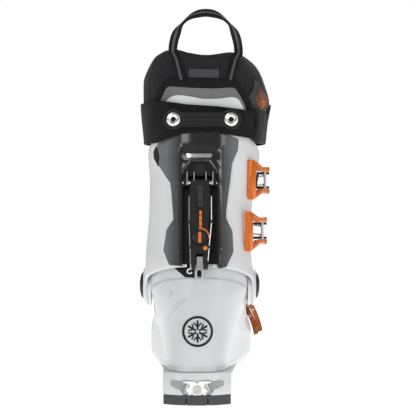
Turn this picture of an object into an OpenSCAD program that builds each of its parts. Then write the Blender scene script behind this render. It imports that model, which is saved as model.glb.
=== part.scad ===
// Alpine ski boot, right foot: two-part plastic shell with a hinged cuff, rear ski and walk
// mechanism, four buckles, power strap and removable liner. Millimetres; +Y points to the toe,
// +X to the outer (buckle) side, +Z up. The origin lies on the tread plane under the heel.

/* [Sole] */
// Overall sole length from heel to toe
sole_len = 306; // [296:1:316]
// Distance from the origin back to the rear end of the heel
heel_back = 32; // [30:1:34]
// Width of the heel block
heel_w = 64; // [62:1:68]
// Width of the toe block
toe_w = 69; // [67:1:70]
// Height of the heel ledge above the tread
heel_ledge = 30; // [29:0.5:31]
// Height of the toe ledge above the tread
toe_ledge = 19; // [18:0.5:20]
// Thickness of the rubber tread
tread_h = 9; // [8:0.5:10]

/* [Shell] */
// Wall thickness of the lower shell
shell_wall = 4.6; // [4:0.1:5]
// Wall thickness of the cuff
cuff_wall = 3.4; // [3:0.1:3.6]
// Height of the top edge of the lower shell under the cuff
shell_top = 142; // [138:1:145]
// Height of the rear top edge of the cuff
cuff_top = 251; // [245:1:255]

/* [Hinge] */
// Distance of the cuff hinge axis ahead of the origin
hinge_y = 53; // [52:0.5:54]
// Height of the cuff hinge axis
hinge_z = 107; // [106:0.5:108]
// Radius of the rounded ankle part of the shell about the hinge axis
ankle_r = 75; // [74:0.5:75.5]
// Radius of the hinge bolt shaft
bolt_r = 6; // [5:0.5:7]
// Radius of the black hinge bolt head
bolt_head_r = 13.4; // [12:0.1:14]

/* [Mechanism] */
// Sideways place of the rear mechanism's centre line
mech_x = 2.5; // [1:0.5:4]
// Height of the walk lever's axle
axle_z = 205.5; // [203:0.5:208]
// Length of the walk lever below its axle
lever_len = 82; // [76:1:84]
// Radius of the selector dial
dial_r = 7.2; // [6:0.1:8]

/* [Buckles] */
// Radius of the buckle hinge pins
pin_r = 2; // [1.8:0.1:2.2]
// Radius of the bail wire
wire_r = 1.25; // [1:0.05:1.4]

/* [Liner] */
// Wall thickness of the padded liner
liner_wall = 8; // [6:0.5:9]
// Height of the liner's rear rim
liner_top = 331; // [325:1:335]
// Height of the top of the pull loop
loop_top = 369; // [360:1:372]

/* [Hidden] */

heel_rear = -heel_back;
toe_end = sole_len - heel_back;
toe_r = 41.5;
heel_r = 45;
heel_front = 62;
toe_block_back = 152;
block_gap = 0.3;
steps = 36;
curve_n = 2.4;
far = 400;
spine_lean = 13.7;
axle_y = -14;
strap_low = 243;
strap_high = 284;
swing_gap = 2;
flap_edge = 34;

// Side profile of the shell: rear and front outline against height.
shell_rear = [[20, -24], [32, -28], [50, -29.5], [70, -28.5], [90, -25.5], [107, -22.5],
    [130, -19], [150, -12]];
shell_front = [[20, 252], [28, 262], [40, 266], [52, 262], [62, 254], [70, 238], [78, 212],
    [88, 178], [98, 152], [107, 137], [114, 130], [127, 126], [150, 116]];
// Half widths of the shell against height, at the heel and at the ball of the foot.
heel_outer = [[20, 30], [40, 33], [56, 37], [75, 42], [93, 46], [107, 49], [150, 49]];
heel_inner = [[20, 30], [40, 32], [56, 35], [75, 39], [93, 43], [107, 46], [150, 46]];
ball_outer = [[20, 37], [28, 47], [40, 54], [58, 54], [75, 50], [90, 48], [150, 46]];
ball_inner = [[20, 35], [28, 42], [40, 48], [58, 48], [75, 45], [90, 43], [150, 42]];

// Outline of the cuff against height: rear, front, outer and inner side.
cuff_rear = [[85, -22], [107, -28], [127, -26.5], [150, -20.5], [175, -14.5], [205, -7],
    [230, -2], [255, 1]];
cuff_front = [[85, 128], [107, 132], [150, 124], [175, 124], [200, 128], [230, 134], [255, 138]];
cuff_outer = [[85, 55], [107, 55.5], [130, 52.5], [150, 51], [175, 52], [200, 55], [230, 60],
    [255, 62]];
cuff_inner = [[85, 50], [107, 51.5], [130, 50.5], [150, 49], [175, 47], [200, 46.5],
    [230, 48], [255, 50]];

// Outline of the liner's shaft against height.
liner_rear = [[100, -12], [130, -14], [150, -13], [200, -2], [251, 6], [285, 8], [331, 16]];
liner_front = [[100, 108], [130, 112], [150, 117], [200, 121], [251, 130], [285, 137], [331, 141]];
liner_outer = [[100, 44], [130, 45], [175, 46.5], [230, 54], [251, 57], [262, 62], [285, 68],
    [305, 64], [325, 55], [331, 46]];
liner_inner = [[100, 41], [130, 43], [175, 41.5], [230, 43], [251, 45], [262, 50], [285, 53],
    [305, 53], [325, 45], [331, 38]];

function clamp01(k) = min(1, max(0, k));
function smooth(k) = clamp01(k) * clamp01(k) * (3 - 2 * clamp01(k));
function mix(a, b, k) = a + (b - a) * k;
function spow(v, p) = v < 0 ? -pow(-v, p) : pow(v, p);
function dirp(a) = [cos(a), sin(a)];

// One point of a rounded foot-shaped or leg-shaped outline; turn 0 is the front, 90 the outer side.
function oval(rear, front, outer, inner, turn, grow) =
    let (mid = (front + rear) / 2, half = (front - rear) / 2 + grow,
        side = sin(turn) >= 0 ? outer : inner)
    [(side + grow) * spow(sin(turn), 2 / curve_n), mid + half * spow(cos(turn), 2 / curve_n)];

// The shell keeps inside a barrel about the hinge axis, so that the cuff can swing over it.
barrel_x = 1.6;
barrel_half = 48.2;
function in_barrel(dx, dy, dz, grow) =
    pow(abs(dx) / (barrel_half + grow), 3.2) + pow(norm([dy, dz]) / (ankle_r + grow), 2.2) < 1;

// Largest share of a step from the hinge axis that stays inside the barrel, by halving.
function barrel_share(dx, dy, dz, grow) =
    in_barrel(dx, dy, dz, grow) ? 1 : barrel_search(dx, dy, dz, grow, 0, 1, 14);

function barrel_search(dx, dy, dz, grow, low, high, rounds) =
    rounds == 0 ? low
    : let (k = (low + high) / 2)
        in_barrel(k * dx, k * dy, dz, grow) ? barrel_search(dx, dy, dz, grow, k, high, rounds - 1)
        : barrel_search(dx, dy, dz, grow, low, k, rounds - 1);

// Roundness of the shell's ends against height: the heel and the toe are blunt near the sole.
heel_curve = [[20, 3.6], [45, 3.3], [80, 2.6], [107, 2.4]];
toe_curve = [[20, 2.5], [45, 2.7], [80, 2.4]];

// Shell outline point; the width follows the foot from heel to ball.
function foot_pt(z, turn, grow, drop) =
    let (rear = lookup(z, shell_rear), front = lookup(z + drop, shell_front),
        mid = (front + rear) / 2, half = (front - rear) / 2 + grow,
        n = lookup(z, cos(turn) < 0 ? heel_curve : toe_curve),
        y = mid + half * spow(cos(turn), 2 / n),
        k = smooth((y - 20) / 110),
        w = sin(turn) >= 0 ? mix(lookup(z, heel_outer), lookup(z, ball_outer), k)
            : mix(lookup(z, heel_inner), lookup(z, ball_inner), k))
    [(w + grow) * spow(sin(turn), 2 / n), y, z];

function shell_pt(z, turn, grow, drop = 0) =
    let (p = foot_pt(z, turn, grow, drop), dx = p[0] - barrel_x, dy = p[1] - hinge_y,
        dz = z - hinge_z, k = dz < 0 ? 1 : barrel_share(dx, dy, dz, grow))
    [barrel_x + k * dx, hinge_y + k * dy, z];

function cuff_pt(z, turn, grow) =
    concat(oval(lookup(z, cuff_rear), lookup(z, cuff_front), lookup(z, cuff_outer),
        lookup(z, cuff_inner), turn, grow), z);

function liner_pt(z, turn, grow) =
    concat(oval(lookup(z, liner_rear), lookup(z, liner_front), lookup(z, liner_outer),
        lookup(z, liner_inner), turn, grow), z);

// Closed skin over equal rings of points, each ring counter-clockwise seen from above.
module skin(rings) {
    n = len(rings[0]);
    m = len(rings);
    sides = [for (i = [0 : m - 2]) for (j = [0 : n - 1])
        each [[i * n + j, (i + 1) * n + (j + 1) % n, i * n + (j + 1) % n],
            [i * n + j, (i + 1) * n + j, (i + 1) * n + (j + 1) % n]]];
    base = [[for (j = [0 : n - 1]) j]];
    top = [[for (j = [n - 1 : -1 : 0]) (m - 1) * n + j]];
    polyhedron(points = [for (r = rings) each r], faces = concat(sides, base, top));
}

// Closed tube along a path; each ring lies across the path, with the section's points given
// in the frame of the side vector.
module sweep(path, section, side) {
    n = len(path);
    rings = [for (i = [0 : n - 1])
        let (a = path[max(0, i - 1)], b = path[min(n - 1, i + 1)], t = (b - a) / norm(b - a),
            u = cross(t, side), un = u / norm(u), v = cross(un, t))
        [for (s = section) path[i] + un * s[0] + v * s[1]]];
    skin(rings);
}

function ring_section(r, n = 8) = [for (i = [0 : n - 1]) r * dirp(-360 * i / n)];
function flat_section(w, t) = [[-w / 2, t / 2], [w / 2, t / 2], [w / 2, -t / 2], [-w / 2, -t / 2]];

module shell_solid(low, high, levels, grow, drop = 0)
    skin([for (i = [0 : levels]) let (z = mix(low, high, i / levels))
        [for (j = [0 : steps - 1]) shell_pt(z, -360 * j / steps, grow, drop)]]);

module cuff_solid(low, high, levels, grow)
    skin([for (i = [0 : levels]) let (z = mix(low, high, i / levels))
        [for (j = [0 : steps - 1]) cuff_pt(z, -360 * j / steps, grow)]]);

module liner_solid(low, high, levels, grow)
    skin([for (i = [0 : levels]) let (z = mix(low, high, i / levels))
        [for (j = [0 : steps - 1]) liner_pt(z, -360 * j / steps, grow)]]);

// Barrel about the hinge axis that both the shell and the cuff follow.
module ankle_barrel(grow) {
    half = barrel_half + grow;
    translate([barrel_x, hinge_y, hinge_z]) rotate([0, 90, 0])
        rotate_extrude($fn = 72)
            polygon(concat([[0, half], [0, -half]],
                [for (i = [1 : 23]) let (x = -half + half * i / 12)
                    [(ankle_r + grow) * pow(1 - pow(abs(x / half), 3.2), 0.45), x]]));
}

// Prism across the boot of a side-view shape given in y and z about the hinge axis.
module across() translate([-far / 2, hinge_y, hinge_z]) rotate([90, 0, 90])
    linear_extrude(far) children();

// Side-view sector about the hinge axis from one angle to another, 0 is forward and 180 rearward.
module sector(from, to, r = far) polygon(concat([[0, 0]],
    [for (i = [0 : 12]) r * dirp(mix(from, to, i / 12))]));

// Prism along the boot of a rear-view shape given in x and z.
module along(from, to) translate([0, to, 0]) rotate([90, 0, 0]) linear_extrude(to - from) children();

// Keeps a carved shape as one closed skin.
module carved() resize([0, 0, 0]) children();

module ring_disc(r, hole, h, fn = 48) difference() {
    cylinder(r = r, h = h, $fn = fn);
    translate([0, 0, -1]) cylinder(r = hole, h = h + 2, $fn = fn);
}

// ---------- sole ----------

module heel_2d(grow = 0) intersection() {
    translate([-heel_w / 2 - grow, heel_rear - grow]) square([heel_w + 2 * grow, heel_front - heel_rear + grow]);
    union() {
        translate([0, heel_rear + heel_r]) circle(r = heel_r + grow, $fn = 96);
        translate([-heel_w, heel_rear + heel_r]) square([2 * heel_w, 100]);
    }
}

module toe_2d(grow = 0) intersection() {
    translate([-toe_w / 2 - grow, toe_block_back]) square([toe_w + 2 * grow, toe_end - toe_block_back + grow]);
    union() {
        translate([0, toe_end - toe_r]) circle(r = toe_r + grow, $fn = 96);
        translate([-toe_w, toe_block_back - 1]) square([2 * toe_w, toe_end - toe_r - toe_block_back + 1]);
    }
}

heel_screw_spots = [[-19, 4], [19, 4], [-19, 46], [19, 46]];
toe_screw_spots = [[-20, 166], [20, 166], [-20, 234], [20, 234]];

module screw_row(spots, head_z, tip_z) for (p = spots) translate([p[0], p[1], head_z]) {
    difference() {
        cylinder(r = 4, h = 3, $fn = 32);
        translate([0, 0, -1]) cylinder(r = 2, h = 2.5, $fn = 6);
    }
    translate([0, 0, 2.9]) cylinder(r = 2.2, h = tip_z - head_z - 2.9, $fn = 32);
}

module screw_holes(spots, r, low, high) for (p = spots)
    translate([p[0], p[1], low]) cylinder(r = r, h = high - low, $fn = 32);

fitting_z = 14.4;
// Rear-view outline of the heel fitting plate.
fitting_shape = [[-13, 22.6], [-13, 21], [-7.5, 20], [-6.5, 17.5], [-10, 14.5], [-6.8, 9.5],
    [6.8, 9.5], [10, 14.5], [6.5, 17.5], [7.5, 20], [13, 21], [13, 22.6], [2, 22.6], [0, 20.6], [-2, 22.6]];

module heel_block() color("whitesmoke") difference() {
    translate([0, 0, tread_h + block_gap])
        linear_extrude(heel_ledge - tread_h - block_gap) heel_2d();
    screw_holes(heel_screw_spots, 2.6, 0, 40);
    screw_holes(heel_screw_spots, 4.4, 0, tread_h + 3.4);
    // moulded recesses beside the fitting
    for (s = [-1, 1]) along(heel_rear - 2, heel_rear + 5)
        polygon([[s * 8.5, 22.5], [s * 25, 22.5], [s * 25, 18], [s * 21, 16], [s * 16, 15], [s * 12, 8],
            [s * 7.5, 8], [s * 11.4, 14.8]]);
    along(heel_rear - 2, heel_rear + 6) offset(delta = 0.3) polygon(fitting_shape);
    translate([0, heel_rear + 16, fitting_z]) rotate([90, 0, 0]) cylinder(r = 2.2, h = 20, $fn = 32);
    // relief that lightens the underside
    translate([-12, -8, 0]) cube([24, 50, 22]);
}

module toe_block() color("whitesmoke") difference() {
    translate([0, 0, tread_h + block_gap])
        linear_extrude(toe_ledge - tread_h - block_gap) toe_2d();
    screw_holes(toe_screw_spots, 2.6, 0, 40);
    screw_holes(toe_screw_spots, 4.4, 0, tread_h + 3.4);
    translate([-50, toe_end - 18, 14]) rotate([0, 90, 0]) cylinder(r = 4.55, h = 100, $fn = 48);
}

module lug_grooves(low, high) for (y = [low : 13 : high])
    translate([-40, y, -1]) cube([80, 2.6, 5]);

module heel_tread() color("dimgray") difference() {
    linear_extrude(tread_h) heel_2d(-0.6);
    screw_holes(heel_screw_spots, 4.8, -1, 20);
    difference() {
        lug_grooves(heel_rear + 18, heel_front - 8);
        translate([-9, -far / 2, -2]) cube([18, far, 8]);
    }
    for (s = [-1, 1]) translate([s * 10 - 0.6, heel_rear - 1, -1]) cube([1.2, 8, 7]);
}

module toe_tread() color("dimgray") difference() {
    linear_extrude(tread_h) toe_2d(-0.6);
    screw_holes(toe_screw_spots, 4.8, -1, 20);
    difference() {
        lug_grooves(toe_block_back + 12, toe_end - 14);
        translate([-8, -far / 2, -2]) cube([16, far * 2, 8]);
    }
}

module heel_screws() color("silver") screw_row(heel_screw_spots, tread_h - 2.7, 36);
module toe_screws() color("silver") screw_row(toe_screw_spots, tread_h - 2.7, 25);

module heel_fitting() color("silver") difference() {
    along(heel_rear - 0.8, heel_rear + 5.6) polygon(fitting_shape);
    translate([0, heel_rear + 16, fitting_z]) rotate([90, 0, 0]) cylinder(r = 2.2, h = 30, $fn = 32);
    // two slots that take the binding's heel pins
    for (s = [-1, 1]) translate([s * 4.8 - 0.9, heel_rear - 3, 8.5]) cube([1.8, 6, 3]);
}

module fitting_screw() color("gray") translate([0, heel_rear + 14, fitting_z]) rotate([90, 0, 0]) {
    cylinder(r = 2.1, h = 15, $fn = 32);
    translate([0, 0, 14.9]) difference() {
        cylinder(r = 4.2, h = 2, $fn = 48);
        translate([0, 0, 0.8]) cylinder(r = 2, h = 3, $fn = 6);
    }
}

module toe_fitting() color("silver") difference() {
    translate([-34, toe_end - 18, 14]) rotate([0, 90, 0]) cylinder(r = 4.5, h = 68, $fn = 48);
    for (s = [-1, 1]) translate([s * 32.2, toe_end - 18, 14]) rotate([0, 90, 0])
        cylinder(r = 2.8, h = 4.2, center = true, $fn = 48);
}

// ---------- lower shell ----------

module shell_cavity(grow) difference() {
    shell_solid(toe_ledge + 7, 150, 17, grow, -grow);
    translate([-far / 2, -far / 2, 0]) cube([far, far / 2 + heel_front + 6, heel_ledge + 6]);
}

rib_spots = [-1, 5];

module shell_ribs() for (x = rib_spots) translate([x - 1, 0, 0]) {
    intersection() {
        translate([0, hinge_y - 80, 98]) cube([2, 40, 33]);
        union() {
            translate([0, hinge_y, hinge_z]) rotate([0, 90, 0]) cylinder(r = ankle_r + 1.9, h = 2, $fn = 72);
            translate([0, -26, 98]) cube([2, 40, 9]);
        }
    }
}

module lower_shell() color("gainsboro") carved() difference() {
    union() {
        shell_solid(20, shell_top, 21, 0);
        shell_ribs();
        // outer flap that laps over the instep
        intersection() {
            shell_solid(52, 112, 12, 2.6);
            translate([-6, 128, 50]) cube([6 + flap_edge, 170, 60]);
        }
    }
    shell_cavity(-shell_wall);
    // the shell sits on the heel block and the toe block
    translate([-far / 2, -far / 2, 0]) cube([far, far / 2 + heel_front + 1, heel_ledge + block_gap]);
    translate([-far / 2, toe_block_back - 1, 0]) cube([far, far, toe_ledge + block_gap]);
    screw_holes(heel_screw_spots, 2.9, 20, 37.5);
    screw_holes(toe_screw_spots, 2.9, 15, 26);
    for (outer = [0, 1]) hinge_frame(outer) {
        cylinder(r = bolt_r + 0.6, h = 30, $fn = 32);
        // flat seat for the nut on the inside of the wall
        translate([0, 0, nut_depth[outer] - 0.3]) cylinder(r = nut_r + 0.5, h = 8, $fn = 48);
    }
}

module boot_board() color("dimgray") carved() intersection() {
    shell_solid(toe_ledge + 7, 60, 6, -shell_wall - 0.8);
    translate([-far / 2, 0, 0]) rotate([90, 0, 90]) linear_extrude(far)
        polygon([[-40, heel_ledge + 6.4], [heel_front + 6.6, heel_ledge + 6.4],
            [heel_front + 6.6, toe_ledge + 7.4], [236, toe_ledge + 7.4], [236, 30], [-40, 41]]);
}

function board_z(y) = mix(41, 30, (y + 40) / 276);

module above_board(lift) translate([-far / 2, 0, 0]) rotate([90, 0, 90]) linear_extrude(far)
    polygon([[-60, board_z(-60) + lift], [280, board_z(280) + lift], [280, 400], [-60, 400]]);

// Zone under the liner's hinge line; the foot part of the liner stays inside it.
module liner_joint_zone(r, gap_from, gap_to) across() union() {
    circle(r = r, $fn = 64);
    difference() {
        circle(r = far);
        sector(gap_from, gap_to);
    }
}

module liner_foot() color("#38383b") carved() difference() {
    intersection() {
        shell_cavity(-shell_wall - 2.2);
        above_board(0.5);
        liner_joint_zone(60, 13, 183);
    }
    intersection() {
        shell_solid(toe_ledge + 8, 150, 13, -shell_wall - 2.2 - liner_wall, shell_wall + 2.2 + liner_wall);
        above_board(5);
    }
    translate([-far / 2, -far / 2, hinge_z + 30]) cube(far);
    // entry under the leg
    translate([-32, 8, 90]) cube([64, 88, 60]);
    for (outer = [0, 1]) hinge_frame(outer) cylinder(r = bolt_r + 4, h = nut_depth[outer] + 1.8, $fn = 32);
}

module insole() color("slategray") carved() difference() {
    intersection() {
        shell_solid(toe_ledge + 8, 60, 5, -shell_wall - 4.4 - liner_wall, shell_wall + 5 + liner_wall);
        above_board(5.4);
    }
    above_board(8.6);
}

// Black selector window on the back of the ankle beside the ribs.
module rear_insert() color("#4a4b4d") carved() intersection() {
    difference() {
        ankle_barrel(1.1);
        ankle_barrel(0.15);
    }
    along(-60, 20) polygon([[-22, 129], [-14, 118.5], [-3, 118], [-3, 131], [-14, 134]]);
}

emblem_z = 68;
module heel_emblem() color("black") carved() intersection() {
    difference() {
        shell_solid(40, 100, 6, 0.7);
        shell_solid(38, 102, 6, 0.1);
    }
    translate([0.5, -10, emblem_z]) rotate([90, 0, 0]) union() {
        ring_disc(13.4, 11.2, 40, 32);
        for (a = [0 : 60 : 120]) rotate(a) translate([-8.4, -0.9, 0]) cube([16.8, 1.8, 40]);
    }
}

// ---------- hinge ----------

// Inner-side and outer-side faces of the cuff at the hinge, and the depth of each bolt's nut.
bolt_face = [-53.4, 57.4];
nut_depth = [13.3, 14.1];
nut_r = bolt_r + 3;

// Frame at a hinge bolt's face with z pointing into the boot.
module hinge_frame(outer) translate([bolt_face[outer], hinge_y, hinge_z])
    rotate([0, outer == 1 ? -90 : 90, 0]) children();

module hinge_bolt(outer) hinge_frame(outer) {
    difference() {
        cylinder(r = bolt_head_r, h = 2.4, $fn = 64);
        translate([0, 0, -0.1]) cylinder(r = bolt_head_r - 3, h = 0.9, $fn = 64);
        translate([0, 0, 0.5]) cylinder(r = 2.6, h = 1.4, $fn = 6);
    }
    translate([0, 0, 2.3]) cylinder(r = bolt_r, h = nut_depth[outer] - 2.2, $fn = 48);
    translate([0, 0, nut_depth[outer]]) cylinder(r = nut_r, h = 1.3, $fn = 48);
}

module hinge_bolt_inner() color("black") hinge_bolt(0);
module hinge_bolt_outer() color("black") hinge_bolt(1);

module hinge_bush(outer) hinge_frame(outer)
    translate([0, 0, 2.7]) ring_disc(bolt_r + 2.5, bolt_r + 0.06, 3.7);
module hinge_bush_inner() color("goldenrod") hinge_bush(0);
module hinge_bush_outer() color("goldenrod") hinge_bush(1);

// ---------- cuff ----------

// Side-view shape that the cuff keeps: a sector with a round end about each hinge.
module cuff_zone() across() offset(r = 6) offset(r = -6) {
    sector(44.5, 165.5);
    circle(r = 19.5, $fn = 48);
}

module cuff_flap() intersection() {
    difference() {
        cuff_solid(130, 246, 8, 3);
        cuff_solid(128, 248, 8, -0.4);
    }
    translate([-8, 80, 120]) cube([46, 80, 130]);
}

module cuff_shell() color("white") carved() difference() {
    intersection() {
        union() {
            cuff_solid(85, cuff_top, 13, 0);
            cuff_flap();
            for (outer = [0, 1]) hinge_frame(outer) cylinder(r1 = 16, r2 = 19, h = 9, $fn = 48);
        }
        cuff_zone();
    }
    cuff_solid(80, 260, 13, -cuff_wall);
    ankle_barrel(swing_gap);
    // rear opening behind the mechanism and the seat of its housing
    translate([mech_x - 12, -60, 100]) cube([24, 80, 112]);
    mech_frame() translate([-15.7, -20, -76.6]) cube([31.4, 28.1, 98]);
    // the rim drops from the spine towards the front
    translate([-far / 2, 0, 0]) rotate([90, 0, 90]) linear_extrude(far)
        polygon([[20, 252], [60, 233], [150, 240], [150, 300], [20, 300]]);
    for (outer = [0, 1]) hinge_frame(outer) {
        translate([0, 0, -5]) cylinder(r = bolt_head_r + 0.4, h = 7.6, $fn = 48);
        translate([0, 0, -5]) cylinder(r = bolt_r + 2.8, h = 25, $fn = 48);
    }
}

// Rear-view outline of the smoked spine panel and of the channel in it.
panel_shape = [[-38, 243], [-36, 222], [-24, 205], [-21, 171], [-28, 161], [-31, 142], [-25, 129],
    [21, 126], [26, 127], [33, 141], [32, 160], [26, 172], [26, 178], [32, 224], [38, 236], [39, 247]];
channel_shape = [[-13.5, 110], [-13.5, 218], [-7, 227], [12, 227], [18.5, 218], [18.5, 110]];

module spine_panel() color("#5b5c5f") carved() difference() {
    intersection() {
        difference() {
            cuff_solid(120, 250, 10, 3.4);
            cuff_solid(118, 252, 10, 0.3);
        }
        along(-60, 30) polygon(panel_shape);
        across() sector(100, 166);
    }
    along(-70, 30) polygon(channel_shape);
}

// Frame of the rear mechanism: x across, -y outward, -z down along the spine from the axle.
module mech_frame() translate([mech_x, axle_y, axle_z]) rotate([-spine_lean, 0, 0]) children();

module mech_housing() color("#1c1c1e") mech_frame() difference() {
    union() {
        // channel floor
        translate([-15.4, 6.2, -76]) cube([30.8, 1.6, 88]);
        // upper cover with the axle lugs
        translate([0, 7, 0]) rotate([90, 0, 0]) linear_extrude(9)
            polygon([[-15.4, 6], [-15.4, 12], [-8.5, 21], [8.5, 21], [15.4, 12], [15.4, 6]]);
        for (s = [-1, 1]) translate([s * 14 - 1.4, -3, -3.5]) cube([2.8, 10, 12]);
    }
    translate([-20, 0, 0]) rotate([0, 90, 0]) cylinder(r = 1.6, h = 40, $fn = 32);
    translate([0, -1, 13]) rotate([90, 0, 0]) cylinder(r = 5, h = 3, $fn = 48);
}

module lever_axle() color("silver") mech_frame()
    translate([-16, 0, 0]) rotate([0, 90, 0]) cylinder(r = 1.5, h = 32, $fn = 32);

module walk_lever() color("#161617") mech_frame() difference() {
    union() {
        rotate([0, 90, 0]) cylinder(r = 3.6, h = 18, center = true, $fn = 48);
        translate([0, 3.6, 0]) rotate([90, 0, 0]) linear_extrude(7.2)
            polygon([[-9, 0], [-9.4, -20], [-8, -50], [-8, -lever_len], [-3.6, -lever_len],
                [-3.6, -lever_len + 14], [3.2, -lever_len + 14], [3.2, -lever_len], [7.6, -lever_len],
                [8, -50], [9.4, -20], [9, 0]]);
    }
    rotate([0, 90, 0]) cylinder(r = 1.56, h = 40, center = true, $fn = 32);
    translate([0, 4, -53]) rotate([90, 0, 0]) cylinder(r = 3.1, h = 12, $fn = 48);
    translate([0, -1, -53]) rotate([90, 0, 0]) cylinder(r = dial_r + 0.3, h = 4, $fn = 48);
    // grip ribs
    for (i = [0 : 6]) translate([-3, -4.2, -16 - 2.4 * i]) cube([6, 1.4, 1.2]);
}

module mode_dial() color("#2c2c2e") mech_frame() translate([0, -1.3, -53]) rotate([90, 0, 0]) {
    difference() {
        cylinder(r = dial_r, h = 3.4, $fn = 64);
        translate([-1.4, -5, 2.6]) cube([2.8, 10, 2]);
    }
    translate([0, 0, -3.6]) cylinder(r = 3.04, h = 3.7, $fn = 48);
}

module lever_wires() color("silver") carved() mech_frame() for (s = [-1, 1]) {
    sweep([[s * 10.9, -2, -6], [s * 10.9, -2.4, -14], [s * 10.9, -2.6, -30], [s * 10.3, -2.6, -60],
        [s * 9.6, -2.6, -lever_len + 8]], ring_section(0.9), [1, 0, 0]);
    // clips that hold the wire beside the lever
    for (clip = [[-8, 9.4], [-30, 9.2], [-56, 8.2]]) translate([s * (clip[1] + 11.6) / 2, -2.6, clip[0]])
        cube([11.6 - clip[1], 2.6, 2.2], center = true);
}

module lock_bar() color("silver") mech_frame() difference() {
    translate([-2.9, -0.8, -lever_len - 1]) cube([5.8, 2.2, 12.5]);
    translate([-5, 0, -lever_len + 3]) cube([10, 4, 3]);
}

// ---------- strap and spoiler ----------

module cuff_spoiler() color("white") carved() intersection() {
    difference() {
        liner_solid(225, 283, 6, 4.4);
        liner_solid(223, 286, 6, 2.2);
    }
    along(-60, 18) polygon([[-30, 222], [-32, 260], [-33, 277], [-26, 283], [12, 280], [36, 283],
        [42, 274], [42, 250], [34, 222]]);
    difference() {
        translate([-far / 2, -far / 2, 0]) cube(far);
        cuff_solid(200, 253, 5, -cuff_wall + 20);
    }
}

function strap_pt(z, turn, grow) =
    concat(oval(mix(-6, -1, (z - strap_low) / 41), 147, mix(66, 72, (z - strap_low) / 41),
        mix(53, 56, (z - strap_low) / 41), turn, grow), z);

module strap_solid(low, high, grow)
    skin([for (i = [0 : 3]) let (z = mix(low, high, i / 3))
        [for (j = [0 : steps - 1]) strap_pt(z, -360 * j / steps, grow)]]);

module power_strap() color("#1d1d1f") carved() difference() {
    strap_solid(strap_low, strap_high, 0);
    strap_solid(strap_low - 3, strap_high + 3, -2.6);
    // the band is lower at the spine than over the shin
    along(-60, 60) polygon([[-70, 300], [-34, 285], [-10, 281], [20, 279], [45, 276], [80, 272], [80, 300]]);
    along(-60, 60) polygon([[-70, 230], [-40, 243], [-14, 252], [10, 254], [30, 251], [80, 246], [80, 230]]);
}

lobe_x = [-22.3, 31.8];
lobe_z = 265;
lobe_y = -3;

module strap_frame(x) translate([x, lobe_y, lobe_z]) rotate([90, 0, 0]) children();

module strap_plate() color("#2a2a2c") difference() {
    union() {
        for (x = lobe_x) strap_frame(x) cylinder(r = 9.4, h = 5, $fn = 64);
        translate([lobe_x[0], lobe_y - 4.6, lobe_z - 7]) cube([lobe_x[1] - lobe_x[0], 3, 14]);
        for (k = [-1 : 1]) translate([lobe_x[0], lobe_y - 5.4, lobe_z + 4.2 * k - 0.9])
            cube([lobe_x[1] - lobe_x[0], 1.6, 1.8]);
    }
    for (x = lobe_x) strap_frame(x) translate([0, 0, 1.5]) cylinder(r = 7.2, h = 9, $fn = 64);
}

module strap_rivets() color("silver") for (x = lobe_x) strap_frame(x) translate([0, 0, 1.8])
    rotate_extrude($fn = 64) polygon([[2.2, 0], [7, 0], [6.9, 3.2], [6, 4.4], [4.2, 4.7], [2.2, 3.4]]);

module strap_keeper() color("#222224") carved() intersection() {
    difference() {
        strap_solid(strap_low + 1, strap_high - 8, 2.6);
        strap_solid(strap_low - 3, strap_high + 3, 0.3);
    }
    translate([40, 20, 240]) cube([60, 12, 60]);
}

// ---------- liner ----------

module liner_shaft() color("#333335") carved() difference() {
    intersection() {
        liner_solid(100, liner_top, 17, 0);
        across() sector(46, 150);
        union() {
            across() sector(63, 129);
            ankle_barrel(-shell_wall - 3.2);
        }
    }
    liner_solid(90, 340, 14, -liner_wall);
    across() circle(r = 62, $fn = 64);
    // the tongue closes the front
    translate([-34, 88, 80]) cube([72, 100, 300]);
    // the rim dips at the back
    translate([mech_x + 3, 0, 352]) rotate([90, 0, 0]) cylinder(r = 24, h = 90, center = true, $fn = 48);
}

module liner_tongue() color("#3a3a3d") carved() intersection() {
    difference() {
        liner_solid(140, 322, 14, -0.6);
        liner_solid(130, 330, 14, -liner_wall - 1);
    }
    translate([-33.4, 88.6, 157]) cube([70.8, 100, 300]);
    across() sector(47, 120);
    union() {
        across() sector(64, 120);
        ankle_barrel(-shell_wall - 2.4);
    }
    across() difference() {
        circle(r = far);
        circle(r = 63, $fn = 64);
    }
}

module liner_label() color("#77777a") carved() intersection() {
    difference() {
        liner_solid(300, 326, 4, 1.1);
        liner_solid(298, 328, 4, 0.2);
    }
    along(-60, 40) polygon([[-7, 308], [-7, 319.5], [20, 319], [20, 307.5]]);
}

module liner_patch() color("#a04a20") carved() intersection() {
    difference() {
        liner_solid(256, 312, 6, 1);
        liner_solid(254, 314, 6, 0.2);
    }
    translate([30, 42, 284]) rotate([0, 90, 0]) linear_extrude(60)
        polygon([[-20, 0], [0, 16], [20, 0], [0, -16]]);
}

loop_mid = 8;
loop_half = 31.5;
loop_spring = 335;
function loop_pt(a) = [loop_mid - loop_half * cos(a), 4 + 4 * sin(a),
    loop_spring + (loop_top - 1.2 - loop_spring) * sin(a)];
module pull_loop() color("#242426") carved()
    sweep(concat([[loop_mid - 21, 4.6, 304], [loop_mid - 26, 4.4, 314], [loop_mid - 30, 4.2, 325]],
        [for (a = [0 : 10 : 180]) loop_pt(a)],
        [[loop_mid + 30, 4.2, 325], [loop_mid + 26, 4.4, 314], [loop_mid + 21, 4.6, 304]]),
        flat_section(2.2, 8.4), [0, 1, 0]);

// ---------- buckles ----------

// Buckle frame: x from the hinge pin to the handle, y outward, z along the pin.
upper_at = [66, 64, 209];
lower_at = [63, 52, 160];
cuff_turn = 252.2;
instep_at = [50, 148, 86];
toe_at = [47.8, 184, 77.3];
shell_turn = 69;

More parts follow.
